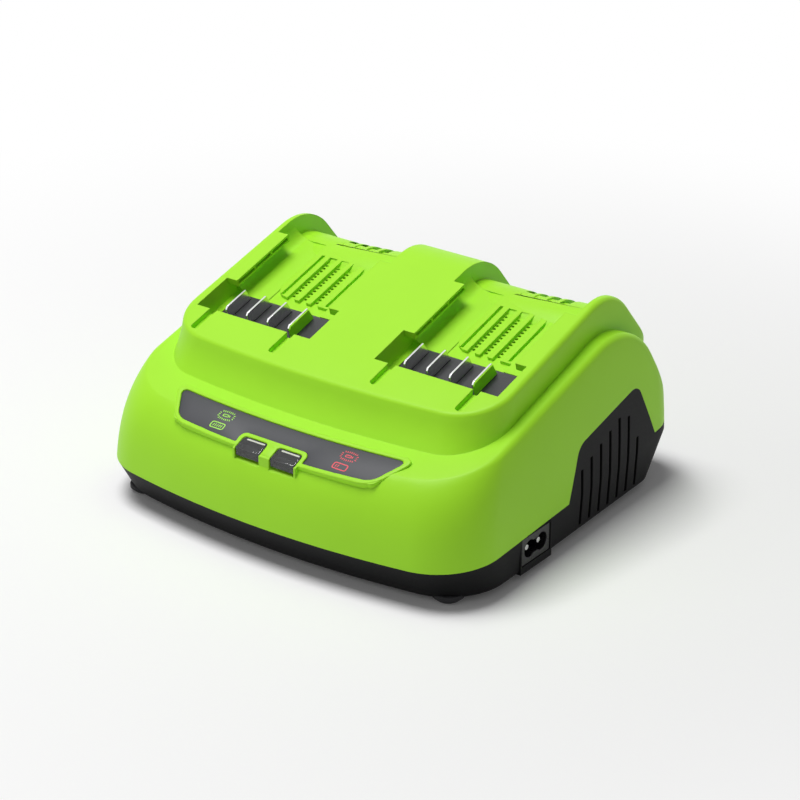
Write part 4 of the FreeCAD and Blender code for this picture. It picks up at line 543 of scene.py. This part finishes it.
def foot_rubber():
    """Moulded rubber of the feet, near black, dull and dusty in its grain."""
    material, tree, shader, places = new_material("black_foot_rubber", linear("#18181A"), 0.85)
    dust = grain(tree, places, 0.8, 4.0, 0.7)
    vary_colour(tree, shader, dust, linear("#131314"), linear("#26262A"))
    vary_roughness(tree, shader, dust, 0.75, 0.95)
    raise_bump(tree, shader, dust, 0.03, 0.6)
    return material


def turned_steel():
    """Zinc-plated screw steel with faint marks across it."""
    material, tree, shader, places = new_material("zinc_plated_steel", linear("#A9ADB2"), 0.35, Metallic=1.0)
    marks = grain(tree, places, 0.3, 3.0)
    vary_colour(tree, shader, marks, linear("#8F9399"), linear("#C4C7CA"))
    vary_roughness(tree, shader, marks, 0.25, 0.45)
    raise_bump(tree, shader, marks, 0.008, 0.5)
    return material


def board_laminate():
    """Green solder mask over glass cloth, with paler copper runs showing through."""
    material, tree, shader, places = new_material("solder_mask_laminate", linear("#1F5A33"), 0.35)
    runs = add_node(
        tree, "ShaderNodeTexBrick", {"Vector": places}, Scale=1.0, Brick_Width=9.0 * MM, Row_Height=4.5 * MM,
        Mortar_Size=0.4 * MM, Color1=linear("#1D5530"), Color2=linear("#226038"), Mortar=linear("#3A7B4A")
    )
    tree.links.new(runs.outputs["Color"], shader.inputs["Base Color"])
    weave = grain(tree, places, 0.5, 1.0)
    vary_roughness(tree, shader, weave, 0.28, 0.42)
    raise_bump(tree, shader, weave, 0.01, 0.4)
    return material


def resin_and_highlight():
    """Milky resin of the small indicator lights, also used for the pale strips of painted highlight on the
    lenses.
    """
    material, tree, shader, places = new_material(
        "milky_light_resin", linear("#E9ECDF"), 0.3, Transmission_Weight=0.3, IOR=1.5
    )
    haze = grain(tree, places, 0.6, 1.0)
    vary_colour(tree, shader, haze, linear("#DDE3CC"), linear("#F2F3EC"))
    vary_roughness(tree, shader, haze, 0.25, 0.4)
    return material


def pressed_ferrite():
    """Pressed ferrite of cores and chokes: charcoal, granular and dull."""
    material, tree, shader, places = new_material("pressed_ferrite", linear("#34353A"), 0.7)
    grit = grain(tree, places, 0.35, 4.0, 0.7)
    vary_colour(tree, shader, grit, linear("#2A2B2F"), linear("#45464C"))
    vary_roughness(tree, shader, grit, 0.6, 0.8)
    raise_bump(tree, shader, grit, 0.03, 0.6)
    return material


def enamelled_winding():
    """Enamelled copper wire laid turn beside turn, with a painted highlight on each turn's crown and painted
    shade between the turns.
    """
    material, tree, shader, places = new_material(
        "enamelled_copper_wire", linear("#A8582C"), 0.3, Metallic=0.8
    )
    # One crown in 3.3 mm, coarser than the real wire so that it shows.
    turns_and_crown_highlight = add_node(
        tree, "ShaderNodeTexWave", {"Vector": places}, bands_direction="Z", Scale=95.0, Distortion=0.4
    ).outputs["Fac"]
    # The colour runs from painted shade between the turns to a painted highlight on each turn's crown.
    vary_colour(tree, shader, turns_and_crown_highlight, linear("#7A3A18"), linear("#C9743F"))
    vary_roughness(tree, shader, turns_and_crown_highlight, 0.42, 0.25)
    raise_bump(tree, shader, turns_and_crown_highlight, 0.25, 0.8)
    return material


def capacitor_sleeve():
    """Shrunk plastic sleeve of the electrolytic cans, dark, satin and slightly drawn."""
    material, tree, shader, places = new_material(
        "shrunk_can_sleeve", linear("#2B2F3A"), 0.32, Coat_Weight=0.2
    )
    drawn = grain(tree, places, 4.0, 2.0)
    vary_colour(tree, shader, drawn, linear("#232731"), linear("#363B48"))
    vary_roughness(tree, shader, drawn, 0.26, 0.4)
    raise_bump(tree, shader, drawn, 0.03, 0.4)
    return material


def boxed_film_resin():
    """Yellow resin box of the film capacitor, slightly orange-peeled."""
    material, tree, shader, places = new_material("yellow_film_resin", linear("#D9B036"), 0.4)
    peel = grain(tree, places, 0.9, 2.0)
    vary_colour(tree, shader, peel, linear("#CDA42E"), linear("#E4BC44"))
    vary_roughness(tree, shader, peel, 0.34, 0.48)
    raise_bump(tree, shader, peel, 0.02, 0.4)
    return material


def fuse_ceramic():
    """Off-white glazed ceramic of the fuse tube."""
    material, tree, shader, places = new_material("glazed_fuse_ceramic", linear("#E6E1D4"), 0.25)
    glaze = grain(tree, places, 1.2, 2.0)
    vary_colour(tree, shader, glaze, linear("#DDD7C8"), linear("#EEEADF"))
    vary_roughness(tree, shader, glaze, 0.2, 0.34)
    return material


def extruded_aluminium():
    """Extruded aluminium of the heatsinks with fine die lines along it."""
    material, tree, shader, places = new_material("extruded_aluminium", linear("#B4B7BA"), 0.35, Metallic=1.0)
    stretch = add_node(tree, "ShaderNodeMapping", {"Vector": places}, Scale=(1.0, 1.0, 0.05))
    lines = grain(tree, stretch.outputs["Vector"], 0.3, 3.0)
    vary_colour(tree, shader, lines, linear("#A3A6AA"), linear("#C8CACC"))
    vary_roughness(tree, shader, lines, 0.28, 0.45)
    raise_bump(tree, shader, lines, 0.01, 0.5)
    return material


def package_resin():
    """Black epoxy of the power transistors, matt from its mould."""
    material, tree, shader, places = new_material("black_package_epoxy", linear("#202124"), 0.6)
    matt = grain(tree, places, 0.25, 2.0)
    vary_colour(tree, shader, matt, linear("#1B1C1E"), linear("#28292D"))
    vary_roughness(tree, shader, matt, 0.52, 0.7)
    raise_bump(tree, shader, matt, 0.01, 0.4)
    return material


def fan_polymer():
    """Black glass-filled PBT of the fan, satin with faint flow clouds."""
    material, tree, shader, places = new_material("black_fan_pbt", linear("#242527"), 0.45)
    flow = grain(tree, places, 3.0, 3.0)
    vary_colour(tree, shader, flow, linear("#1E1F21"), linear("#2E2F32"))
    vary_roughness(tree, shader, flow, 0.38, 0.54)
    raise_bump(tree, shader, flow, 0.015, 0.3)
    return material


def lead_sleeving(name, code):
    """Soft insulation of an inner lead, with a dull sheen and slight chalking."""
    colour = linear(code)
    material, tree, shader, places = new_material(name, colour, 0.5, Sheen_Weight=0.1)
    chalk = grain(tree, places, 0.7, 2.0)
    vary_colour(tree, shader, chalk, shaded(colour, 0.85), shaded(colour, 1.2))
    vary_roughness(tree, shader, chalk, 0.42, 0.6)
    raise_bump(tree, shader, chalk, 0.01, 0.3)
    return material


# ---------------------------------------------------------------- floor and lamps

# Metres, degrees and watts.
FLOOR_SIZE = 6.0
FADE_START, FADE_END, FADE_LEAST = 0.15, 0.5, 0.03
ROOM_LIGHT = 0.17
CAMERA_PLACE, CAMERA_TURN = (0.63797, -0.84693, 0.53742), (64.93, 0.0, 36.66)
CAMERA_SENSOR, CAMERA_LENS = 36.0, 119.3
LAMPS = (  # name, place, turn, side and power
    ("overhead_softbox", (-0.32, -0.14, 1.42), (5.6, -12.7, 0.0), 0.7, 17.4),
    ("front_softbox", (-0.9, -1.3, 0.9), (57.0, 0.0, -35.0), 1.0, 1.9),
)


def seen(tree):
    """One where the camera, a gloss or a clear part looks at a surface, and nothing for other light."""
    rays = add_node(tree, "ShaderNodeLightPath")
    either = add_node(
        tree, "ShaderNodeMath", {0: rays.outputs["Is Camera Ray"], 1: rays.outputs["Is Glossy Ray"]},
        operation="MAXIMUM"
    )
    return add_node(
        tree, "ShaderNodeMath", {0: either.outputs[0], 1: rays.outputs["Is Transmission Ray"]},
        operation="MAXIMUM"
    ).outputs[0]


def studio_floor(colours):
    """Seamless pale floor that keeps the shadow near the charger and fades to white away from it."""
    material = bpy.data.materials.new("seamless_paper")
    material.use_nodes = True
    tree = material.node_tree
    tree.nodes.clear()
    output = add_node(tree, "ShaderNodeOutputMaterial")
    places = add_node(tree, "ShaderNodeTexCoord").outputs["Object"]
    distance = add_node(tree, "ShaderNodeVectorMath", {0: places}, operation="LENGTH").outputs["Value"]
    fade = add_node(
        tree, "ShaderNodeMapRange", {"Value": distance}, interpolation_type="SMOOTHSTEP",
        From_Min=FADE_START, From_Max=FADE_END, To_Min=FADE_LEAST, To_Max=1.0
    ).outputs["Result"]
    share = add_node(tree, "ShaderNodeMath", {0: seen(tree), 1: fade}, operation="MULTIPLY").outputs[0]
    paper = add_node(tree, "ShaderNodeBsdfDiffuse", Color=colours.floor)
    white = add_node(tree, "ShaderNodeEmission", Strength=1.0)
    mix = add_node(tree, "ShaderNodeMixShader", {0: share, 1: paper.outputs[0], 2: white.outputs[0]})
    tree.links.new(mix.outputs[0], output.inputs["Surface"])
    return material


# ---------------------------------------------------------------- operators


class CHARGER_OT_stage(bpy.types.Operator):
    """Adds the floor, the soft lamps, the white surroundings and the camera"""

    bl_idname = "charger.stage"
    bl_label = "Stage"

    def execute(self, context):
        scene = context.scene
        scene.view_settings.view_transform = "Standard"
        deselect()
        bpy.ops.mesh.primitive_plane_add(size=FLOOR_SIZE)
        floor = added("studio_floor")
        floor.data.materials.append(studio_floor(scene.charger_colours))
        self.light_world(scene)
        for name, place, turn, side, power in LAMPS:
            bpy.ops.object.light_add(type="AREA", location=place, rotation=[radians(part) for part in turn])
            lamp = added(name)
            lamp.data.size = side
            lamp.data.energy = power
        bpy.ops.object.camera_add(location=CAMERA_PLACE, rotation=[radians(part) for part in CAMERA_TURN])
        camera = added("photo_camera")
        camera.data.sensor_width = CAMERA_SENSOR
        camera.data.lens = CAMERA_LENS
        scene.camera = camera
        return {"FINISHED"}

    def light_world(self, scene):
        """Even pale light all round, white where it is looked at."""
        world = bpy.data.worlds.new("studio")
        world.use_nodes = True
        scene.world = world
        tree = world.node_tree
        tree.nodes.clear()
        output = add_node(tree, "ShaderNodeOutputWorld")
        plain = add_node(tree, "ShaderNodeBackground", Strength=ROOM_LIGHT)
        white = add_node(tree, "ShaderNodeBackground", Strength=1.0)
        for background in (plain, white):
            background.inputs["Color"].default_value = (1.0, 1.0, 1.0, 1.0)
        mix = add_node(tree, "ShaderNodeMixShader", {0: seen(tree), 1: plain.outputs[0], 2: white.outputs[0]})
        tree.links.new(mix.outputs[0], output.inputs["Surface"])


class CHARGER_OT_cover(bpy.types.Operator):
    """Dresses the green cover and opens the vent holes in its bay floors"""

    bl_idname = "charger.cover"
    bl_label = "Cover"

    def execute(self, context):
        sizes = context.scene.charger_sizes
        cover = moulding("top_cover", "cover_shell", angle=COVER_ANGLE)
        for bay, middle in BAY_MIDDLES.items():
            carve(cover, self.ramp_cutter(bay, middle))
            carve(cover, self.strip_cutter(bay, middle))
            for place in CHANNEL_PLACES:
                carve(cover, self.mouth_cutter(middle + place))
        carve(cover, self.vent_cutter(sizes))
        carve(cover, panel_recess("recess_cutter", 0.0, -RECESS_DEPTH, CLEAR, PANEL_CORNER))
        for block in lens_blocks("window_cutter", WINDOW_GAP, WINDOW_DEPTH, WINDOW_CORNER):
            carve(cover, block)
        work_on(cover)
        bpy.ops.object.shade_smooth_by_angle(angle=radians(COVER_ANGLE))
        green = moulded_cover(context.scene.charger_colours)
        finish_piece(cover, green)
        finish_piece(self.bezel_rim(), green)
        for bay, middle in BAY_MIDDLES.items():
            finish_piece(self.rear_lip(bay, middle), green)
        return {"FINISHED"}

    def ramp_cutter(self, bay, middle):
        """Scoop between the bay's left wall and its raised vent panel, deepest at the panel."""
        run = RAISED_LEFT - SCOOP_LEFT
        cutter = slab(f"ramp_cutter_{bay}", run, SCOOP_LENGTH, SCOOP_HEIGHT)
        lean = atan2(RAISED_HEIGHT, run)
        cutter.rotation_euler = (0.0, lean, 0.0)
        cutter.location = (0.0, 0.0, -RAISED_HEIGHT / 2 * MM)
        bpy.ops.object.transform_apply(location=True, rotation=True, scale=True)
        place = on_deck(middle + (RAISED_LEFT + SCOOP_LEFT) / 2, SCOOP_FRONT + SCOOP_LENGTH / 2, -BAY_DEPTH)
        return settle(cutter, place, radians(DECK_TILT))

    def strip_cutter(self, bay, middle):
        """Low strip in front of the raised vent panel, round the panel's front left corner."""
        depth = RAISED_FRONT + STRIP_OVERLAP - SCOOP_FRONT
        strip = slab(f"strip_cutter_{bay}", STRIP_WIDTH, depth, SCOOP_HEIGHT)
        strip = settle(strip, Vector((STRIP_WIDTH / 2, depth / 2, 0.0)) * MM)
        raised = slab(f"raised_panel_{bay}", RAISED_SIZE, RAISED_SIZE, 2 * SCOOP_HEIGHT, RAISED_CORNER)
        spot = (RAISED_SIZE / 2, RAISED_FRONT - SCOOP_FRONT + RAISED_SIZE / 2, -SCOOP_HEIGHT / 2)
        carve(strip, settle(raised, Vector(spot) * MM))
        place = on_deck(middle + RAISED_LEFT, SCOOP_FRONT, -BAY_DEPTH - RAISED_HEIGHT)
        return settle(strip, place, radians(DECK_TILT))

    def mouth_cutter(self, across):
        """Small mouth that opens the front end of a vent channel."""
        mouth = slab("mouth_cutter", MOUTH_WIDTH, MOUTH_SIZE, MOUTH_SIZE)
        place = on_deck(across, MOUTH_FRONT, -BAY_DEPTH - RAISED_HEIGHT - MOUTH_DROP)
        return settle(mouth, place, radians(DECK_TILT))

    def bezel_rim(self):
        """Green rim round the label panel, arched behind the two lenses."""
        rim = panel_plate("bezel_rim", RIM_WIDTH, -RIM_ROOT, RIM_HEIGHT, PANEL_CORNER + RIM_CORNER)
        carve(rim, panel_recess("rim_cutter", 0.0, -RECESS_DEPTH, CLEAR, PANEL_CORNER))
        for block in lens_blocks("rim_well_cutter", WINDOW_GAP, WELL_DEPTH, RIM_CORNER):
            carve(rim, block)
        return soften(rim, width=0.45 * MM, angle=50.0, segments=3)

    def rear_lip(self, bay, middle):
        """Rounded lip across the bay's rear edge, tapered at its left end and parted by the notches."""
        centre = Vector((middle, LIP_Y, LIP_Z)) * MM
        deselect()
        bpy.ops.mesh.primitive_cylinder_add(
            vertices=LIP_SIDES, radius=LIP_ROUND * MM, depth=LIP_LENGTH * MM, location=centre,
            rotation=(0.0, radians(90.0), 0.0)
        )
        lip = added(f"rear_lip_{bay}")
        bpy.ops.object.transform_apply(location=True, rotation=True, scale=True)
        edit(lip)
        root = (0.0, 0.0, LIP_ROOT * MM)
        bpy.ops.mesh.bisect(plane_co=root, plane_no=(0.0, 0.0, 1.0), clear_inner=True, use_fill=True)
        choose_points(lip, lambda point: point.x < centre.x)
        bpy.ops.transform.resize(value=(1.0, LIP_TAPER, LIP_TAPER), center_override=centre)
        leave_edit()
        for index in range(NOTCHES):
            notch = slab("lip_cutter", NOTCH_WIDTH, NOTCH_DEPTH, NOTCH_HEIGHT, NOTCH_CORNER)
            across = middle + NOTCH_SHIFT + (index - (NOTCHES - 1) / 2) * NOTCH_PITCH
            carve(lip, settle(notch, Vector((across, LIP_Y + NOTCH_BACK, NOTCH_ROOT)) * MM))
        return soften(lip, width=0.7 * MM, angle=50.0, segments=3)

    def vent_cutter(self, sizes):
        """Oval pins for the holes, and small blades for the ticks on the channels' other side."""
        deselect()
        bpy.ops.mesh.primitive_cylinder_add(
            vertices=HOLE_SIDES, radius=sizes.vent_hole_width / 2, depth=CLEAR * MM
        )
        pin = added("vent_pin")
        edit(pin)
        bpy.ops.transform.resize(value=(1.0, sizes.vent_hole_length / sizes.vent_hole_width, 1.0))
        leave_edit()
        deselect()
        bpy.ops.mesh.primitive_cube_add(size=1.0, scale=Vector(TICK_SIZE) * MM)
        tick = added("vent_tick")
        bpy.ops.object.transform_apply(scale=True)
        parts = []
        first, last = CHANNEL_ENDS[0] + CHANNEL_MARGIN, CHANNEL_ENDS[1] - CHANNEL_MARGIN
        pitch = (last - first) / sizes.vent_holes
        floor = -BAY_DEPTH - CHANNEL_DEPTH
        for bay, middle in BAY_MIDDLES.items():
            for row, place in enumerate(CHANNEL_PLACES):
                for index in range(sizes.vent_holes):
                    along = first + (index + 0.5) * pitch
                    for source, shift, lift in ((pin, HOLE_SHIFT, 0.0), (tick, TICK_SHIFT, TICK_LIFT)):
                        copy = twin(source, f"{source.name}_{bay}_{row}_{index}")
                        settle(copy, on_deck(middle + place + shift, along, floor + lift), radians(DECK_TILT))
                        parts.append(copy)
        bpy.data.objects.remove(pin)
        bpy.data.objects.remove(tick)
        return joined(parts, "vent_cutter")


class CHARGER_OT_base(bpy.types.Operator):
    """Dresses the black base, the feet and the screws"""

    bl_idname = "charger.base"
    bl_label = "Base"

    def execute(self, context):
        base = moulding("base_housing", "base_tray", angle=26.0)
        finish_piece(base, moulded_base(context.scene.charger_colours))
        feet = moulding("rubber_feet", "standing_feet", angle=30.0)
        soften(feet, width=0.4 * MM, angle=50.0)
        finish_piece(feet, foot_rubber())
        steel = turned_steel()
        for node in ("housing_screws", "board_screws"):
            finish_node(node, steel)
        return {"FINISHED"}


class CHARGER_OT_panel(bpy.types.Operator):
    """Dresses the label panel and prints its pictograms"""

    bl_idname = "charger.panel"
    bl_label = "Label panel"

    def execute(self, context):
        colours = context.scene.charger_colours
        sizes = context.scene.charger_sizes
        panel = panel_recess("label_panel", -LABEL_GAP, -LABEL_THICKNESS, 0.0, PANEL_CORNER - LABEL_GAP)
        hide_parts("front_panel")
        soften(panel, width=0.12 * MM)
        finish_piece(panel, label_film(colours))
        ready = screen_ink("green_screen_ink", colours.ready)
        fault = screen_ink("red_screen_ink", colours.fault)
        for name, ink, slot, across, bars in (
            ("ready", ready, "lens_green", READY_PLACE, READY_BARS),
            ("fault", fault, "lens_red", FAULT_PLACE, FAULT_BARS),
        ):
            battery = self.battery_sign(f"{name}_battery_sign", sizes, bars)
            settle(battery, on_panel(across, BATTERY_ROW), radians(PANEL_TILT))
            finish_piece(battery, ink)
            rays = self.ray_sign(f"{name}_ray_sign", sizes)
            settle(rays, on_panel(across + RAY_SHIFT, RAY_ROW), radians(PANEL_TILT))
            finish_piece(rays, ink)
        return {"FINISHED"}

    def patch(self, sizes, width, depth, corner, place=(0.0, 0.0), turn=0.0, stroke=0.0):
        """Flat printed patch, or its outline where a stroke is given, from a plane."""
        deselect()
        bpy.ops.mesh.primitive_plane_add(size=1.0)
        piece = added("ink_patch")
        edit(piece)
        bpy.ops.transform.resize(value=(width, depth, 1.0))
        if corner:
            bpy.ops.mesh.bevel(offset=corner, segments=5, affect="VERTICES")
        if stroke:
            bpy.ops.mesh.select_all(action="SELECT")
            bpy.ops.mesh.inset(thickness=stroke)
            bpy.ops.mesh.delete(type="FACE")
        raise_up(sizes.ink_height)
        return settle(piece, (place[0], place[1], 0.0), turn=turn)

    def battery_sign(self, name, sizes, bars):
        """Battery outline with its charge as slanting bars."""
        width, depth, stroke = sizes.battery_width, sizes.battery_depth, sizes.ink_stroke
        parts = [self.patch(sizes, width, depth, depth * 0.3, stroke=stroke)]
        room = width - 4.5 * stroke
        pitch = room / FULL_BARS
        for index in range(bars):
            place = (-room / 2 + (index + 0.5) * pitch, 0.0)
            parts.append(self.patch(sizes, pitch * 0.4, depth - 4.2 * stroke, 0.0, place, radians(-10.0)))
        return joined(parts, name)

    def ray_sign(self, name, sizes):
        """Small battery in a ring of short rays."""
        width, depth, stroke = sizes.rays_width, sizes.rays_depth, sizes.ink_stroke * 0.75
        can = (-width * 0.04, 0.0)
        parts = [self.patch(sizes, width * 0.36, depth * 0.26, depth * 0.08, can, stroke=stroke)]
        parts.append(self.patch(sizes, stroke, depth * 0.2, 0.0, (width * 0.2, 0.0)))
        for side in (1.0, -1.0):
            for index in range(7):
                lean = (index - 3) / 3
                place = (lean * width * 0.34, side * depth * (0.4 - 0.06 * abs(lean)))
                turn = radians(-26.0 * lean * side)
                parts.append(self.patch(sizes, stroke, depth * 0.17, 0.0, place, turn))
            for index in range(3):
                place = (side * width * 0.44, (index - 1) * depth * 0.17)
                turn = radians(16.0 * (index - 1) * side)
                parts.append(self.patch(sizes, width * 0.1, stroke, 0.0, place, turn))
        return joined(parts, name)


class CHARGER_OT_lights(bpy.types.Operator):
    """Dresses the two lenses and the lights under them"""

    bl_idname = "charger.lights"
    bl_label = "Indicator lights"

    def execute(self, context):
        colours = context.scene.charger_colours
        clear = smoky_polycarbonate(colours)
        mask = label_film(colours)
        milky_and_highlight = resin_and_highlight()
        for side, slot in (("left", "lens_green"), ("right", "lens_red")):
            lens = moulding(f"lens_{side}", f"clear_lens_{side}", angle=35.0)
            edit(lens)
            front = min(vertex.co.y for vertex in lens.data.vertices)
            choose_points(lens, lambda point: point.y < front + LENS_FRONT_BAND * MM)
            bpy.ops.transform.translate(value=(0.0, -LENS_REACH * MM, 0.0))
            leave_edit()
            soften(lens, width=0.5 * MM, segments=3)
            finish_piece(lens, clear)
            # The lens's bottom and back faces take the dark grey film as painted shade, standing in for the
            # shaded well under the lens.
            lens.data.materials.append(mask)
            for face in lens.data.polygons:
                face.material_index = int(face.normal.z < -0.5 or face.normal.y > 0.8)
            across = LENS_MIDDLE if side == "right" else -LENS_MIDDLE
            # A pale strip across the back of the lens's top is a painted highlight, where the lens reflects
            # the light.
            highlight_strip = slab(f"light_guide_{side}", HIGHLIGHT_WIDTH, HIGHLIGHT_DEPTH, HIGHLIGHT_HEIGHT, HIGHLIGHT_CORNER)
            place = on_panel(across + HIGHLIGHT_SHIFT, LENS_BACK - HIGHLIGHT_BACK, LENS_TOP)
            settle(highlight_strip, place, radians(PANEL_TILT))
            finish_piece(highlight_strip, milky_and_highlight)
        finish_node("indicator_lights", milky_and_highlight)
        finish_node("light_board", board_laminate())
        return {"FINISHED"}


class CHARGER_OT_terminals(bpy.types.Operator):
    """Dresses the terminal blocks and their bright blades, with a painted green reflection beside the last
    blade of each
    """

    bl_idname = "charger.terminals"
    bl_label = "Terminals"

    def execute(self, context):
        sizes = context.scene.charger_sizes
        nylon = filled_nylon(context.scene.charger_colours)
        plated = plated_contact()
        for side in ("left", "right"):
            block = moulding(f"terminal_block_{side}", f"contact_block_{side}", angle=30.0)
            soften(block, sizes.edge_soften)
            finish_piece(block, nylon)
            blades = moulding(f"terminal_blades_{side}", f"contact_blades_{side}", angle=30.0)
            soften(blades, sizes.edge_soften * 0.6)
            finish_piece(blades, plated)
            # A green copy of the last blade, moved a little aside and down, is a painted reflection of the
            # green cover on that blade's face.
            blade_reflection = twin(blades, f"contact_rib_{side}")
            edit(blade_reflection)
            last = max(vertex.co.x for vertex in blade_reflection.data.vertices)
            choose_points(blade_reflection, lambda point: point.x < last - REFLECTION_REACH * MM)
            bpy.ops.mesh.delete(type="VERT")
            bpy.ops.mesh.select_all(action="SELECT")
            bpy.ops.transform.translate(value=(REFLECTION_SHIFT * MM, 0.0, -REFLECTION_DROP * MM))
            leave_edit()
            finish_piece(blade_reflection, bpy.data.materials["moulded_green_abs"])
        return {"FINISHED"}


class CHARGER_OT_mains_inlet(bpy.types.Operator):
    """Dresses the mains socket and its two pins"""

    bl_idname = "charger.mains_inlet"
    bl_label = "Mains socket"

    def execute(self, context):
        sizes = context.scene.charger_sizes
        socket = moulding("ac_inlet", "mains_socket", angle=30.0)
        soften(socket, sizes.edge_soften)
        finish_piece(socket, glossy_socket())
        pins = moulding("inlet_pins", "mains_pins", angle=35.0)
        finish_piece(pins, plated_contact())
        return {"FINISHED"}


class CHARGER_OT_inside(bpy.types.Operator):
    """Finishes the board, its parts, the leads and the fan"""

    bl_idname = "charger.inside"
    bl_label = "Inner parts"

    def execute(self, context):
        finishes = {
            board_laminate(): ("main_board",),
            pressed_ferrite(): ("transformer_core", "line_choke"),
            enamelled_winding(): ("transformer_winding",),
            capacitor_sleeve(): ("bulk_capacitors", "output_capacitors"),
            boxed_film_resin(): ("film_capacitor",),
            fuse_ceramic(): ("fuse",),
            plated_contact(): ("fuse_clips",),
            extruded_aluminium(): ("primary_heatsink", "secondary_heatsink"),
            package_resin(): ("power_transistors",),
            fan_polymer(): ("fan_frame", "fan_rotor", "fan_stator"),
            lead_sleeving("brown_lead_sleeving", "#5B3420"): ("inlet_leads",),
            lead_sleeving("black_lead_sleeving", "#1C1C1E"): ("output_leads_left", "output_leads_right"),
        }
        for material, nodes in finishes.items():
            for node in nodes:
                finish_node(node, material)
        return {"FINISHED"}


PIECE_OPERATORS = (
    CHARGER_OT_stage, CHARGER_OT_cover, CHARGER_OT_base, CHARGER_OT_panel, CHARGER_OT_lights,
    CHARGER_OT_terminals, CHARGER_OT_mains_inlet, CHARGER_OT_inside,
)


class CHARGER_PT_sidebar(bpy.types.Panel):
    """Sizes, colours and pieces of the charger"""

    bl_label = "Charger"
    bl_idname = "CHARGER_PT_sidebar"
    bl_space_type = "VIEW_3D"
    bl_region_type = "UI"
    bl_category = "Charger"

    def draw(self, context):
        for group in (context.scene.charger_sizes, context.scene.charger_colours):
            column = self.layout.column()
            for name in group.bl_rna.properties.keys():
                if name not in ("rna_type", "name"):
                    column.prop(group, name)
        for operator in PIECE_OPERATORS:
            self.layout.operator(operator.bl_idname)


CLASSES = (ChargerColours, ChargerSizes, *PIECE_OPERATORS, CHARGER_PT_sidebar)


def register():
    """Makes the classes and their settings known to Blender."""
    for item in CLASSES:
        bpy.utils.register_class(item)
    bpy.types.Scene.charger_colours = bpy.props.PointerProperty(type=ChargerColours)
    bpy.types.Scene.charger_sizes = bpy.props.PointerProperty(type=ChargerSizes)


def unregister():
    """Takes the settings and the classes away again."""
    del bpy.types.Scene.charger_sizes
    del bpy.types.Scene.charger_colours
    for item in reversed(CLASSES):
        bpy.utils.unregister_class(item)


def main():
    """Registers the add-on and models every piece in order."""
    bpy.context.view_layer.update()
    register()
    bpy.ops.charger.stage()
    bpy.ops.charger.cover()
    bpy.ops.charger.base()
    bpy.ops.charger.panel()
    bpy.ops.charger.lights()
    bpy.ops.charger.terminals()
    bpy.ops.charger.mains_inlet()
    bpy.ops.charger.inside()


if __name__ == "__main__":
    main()
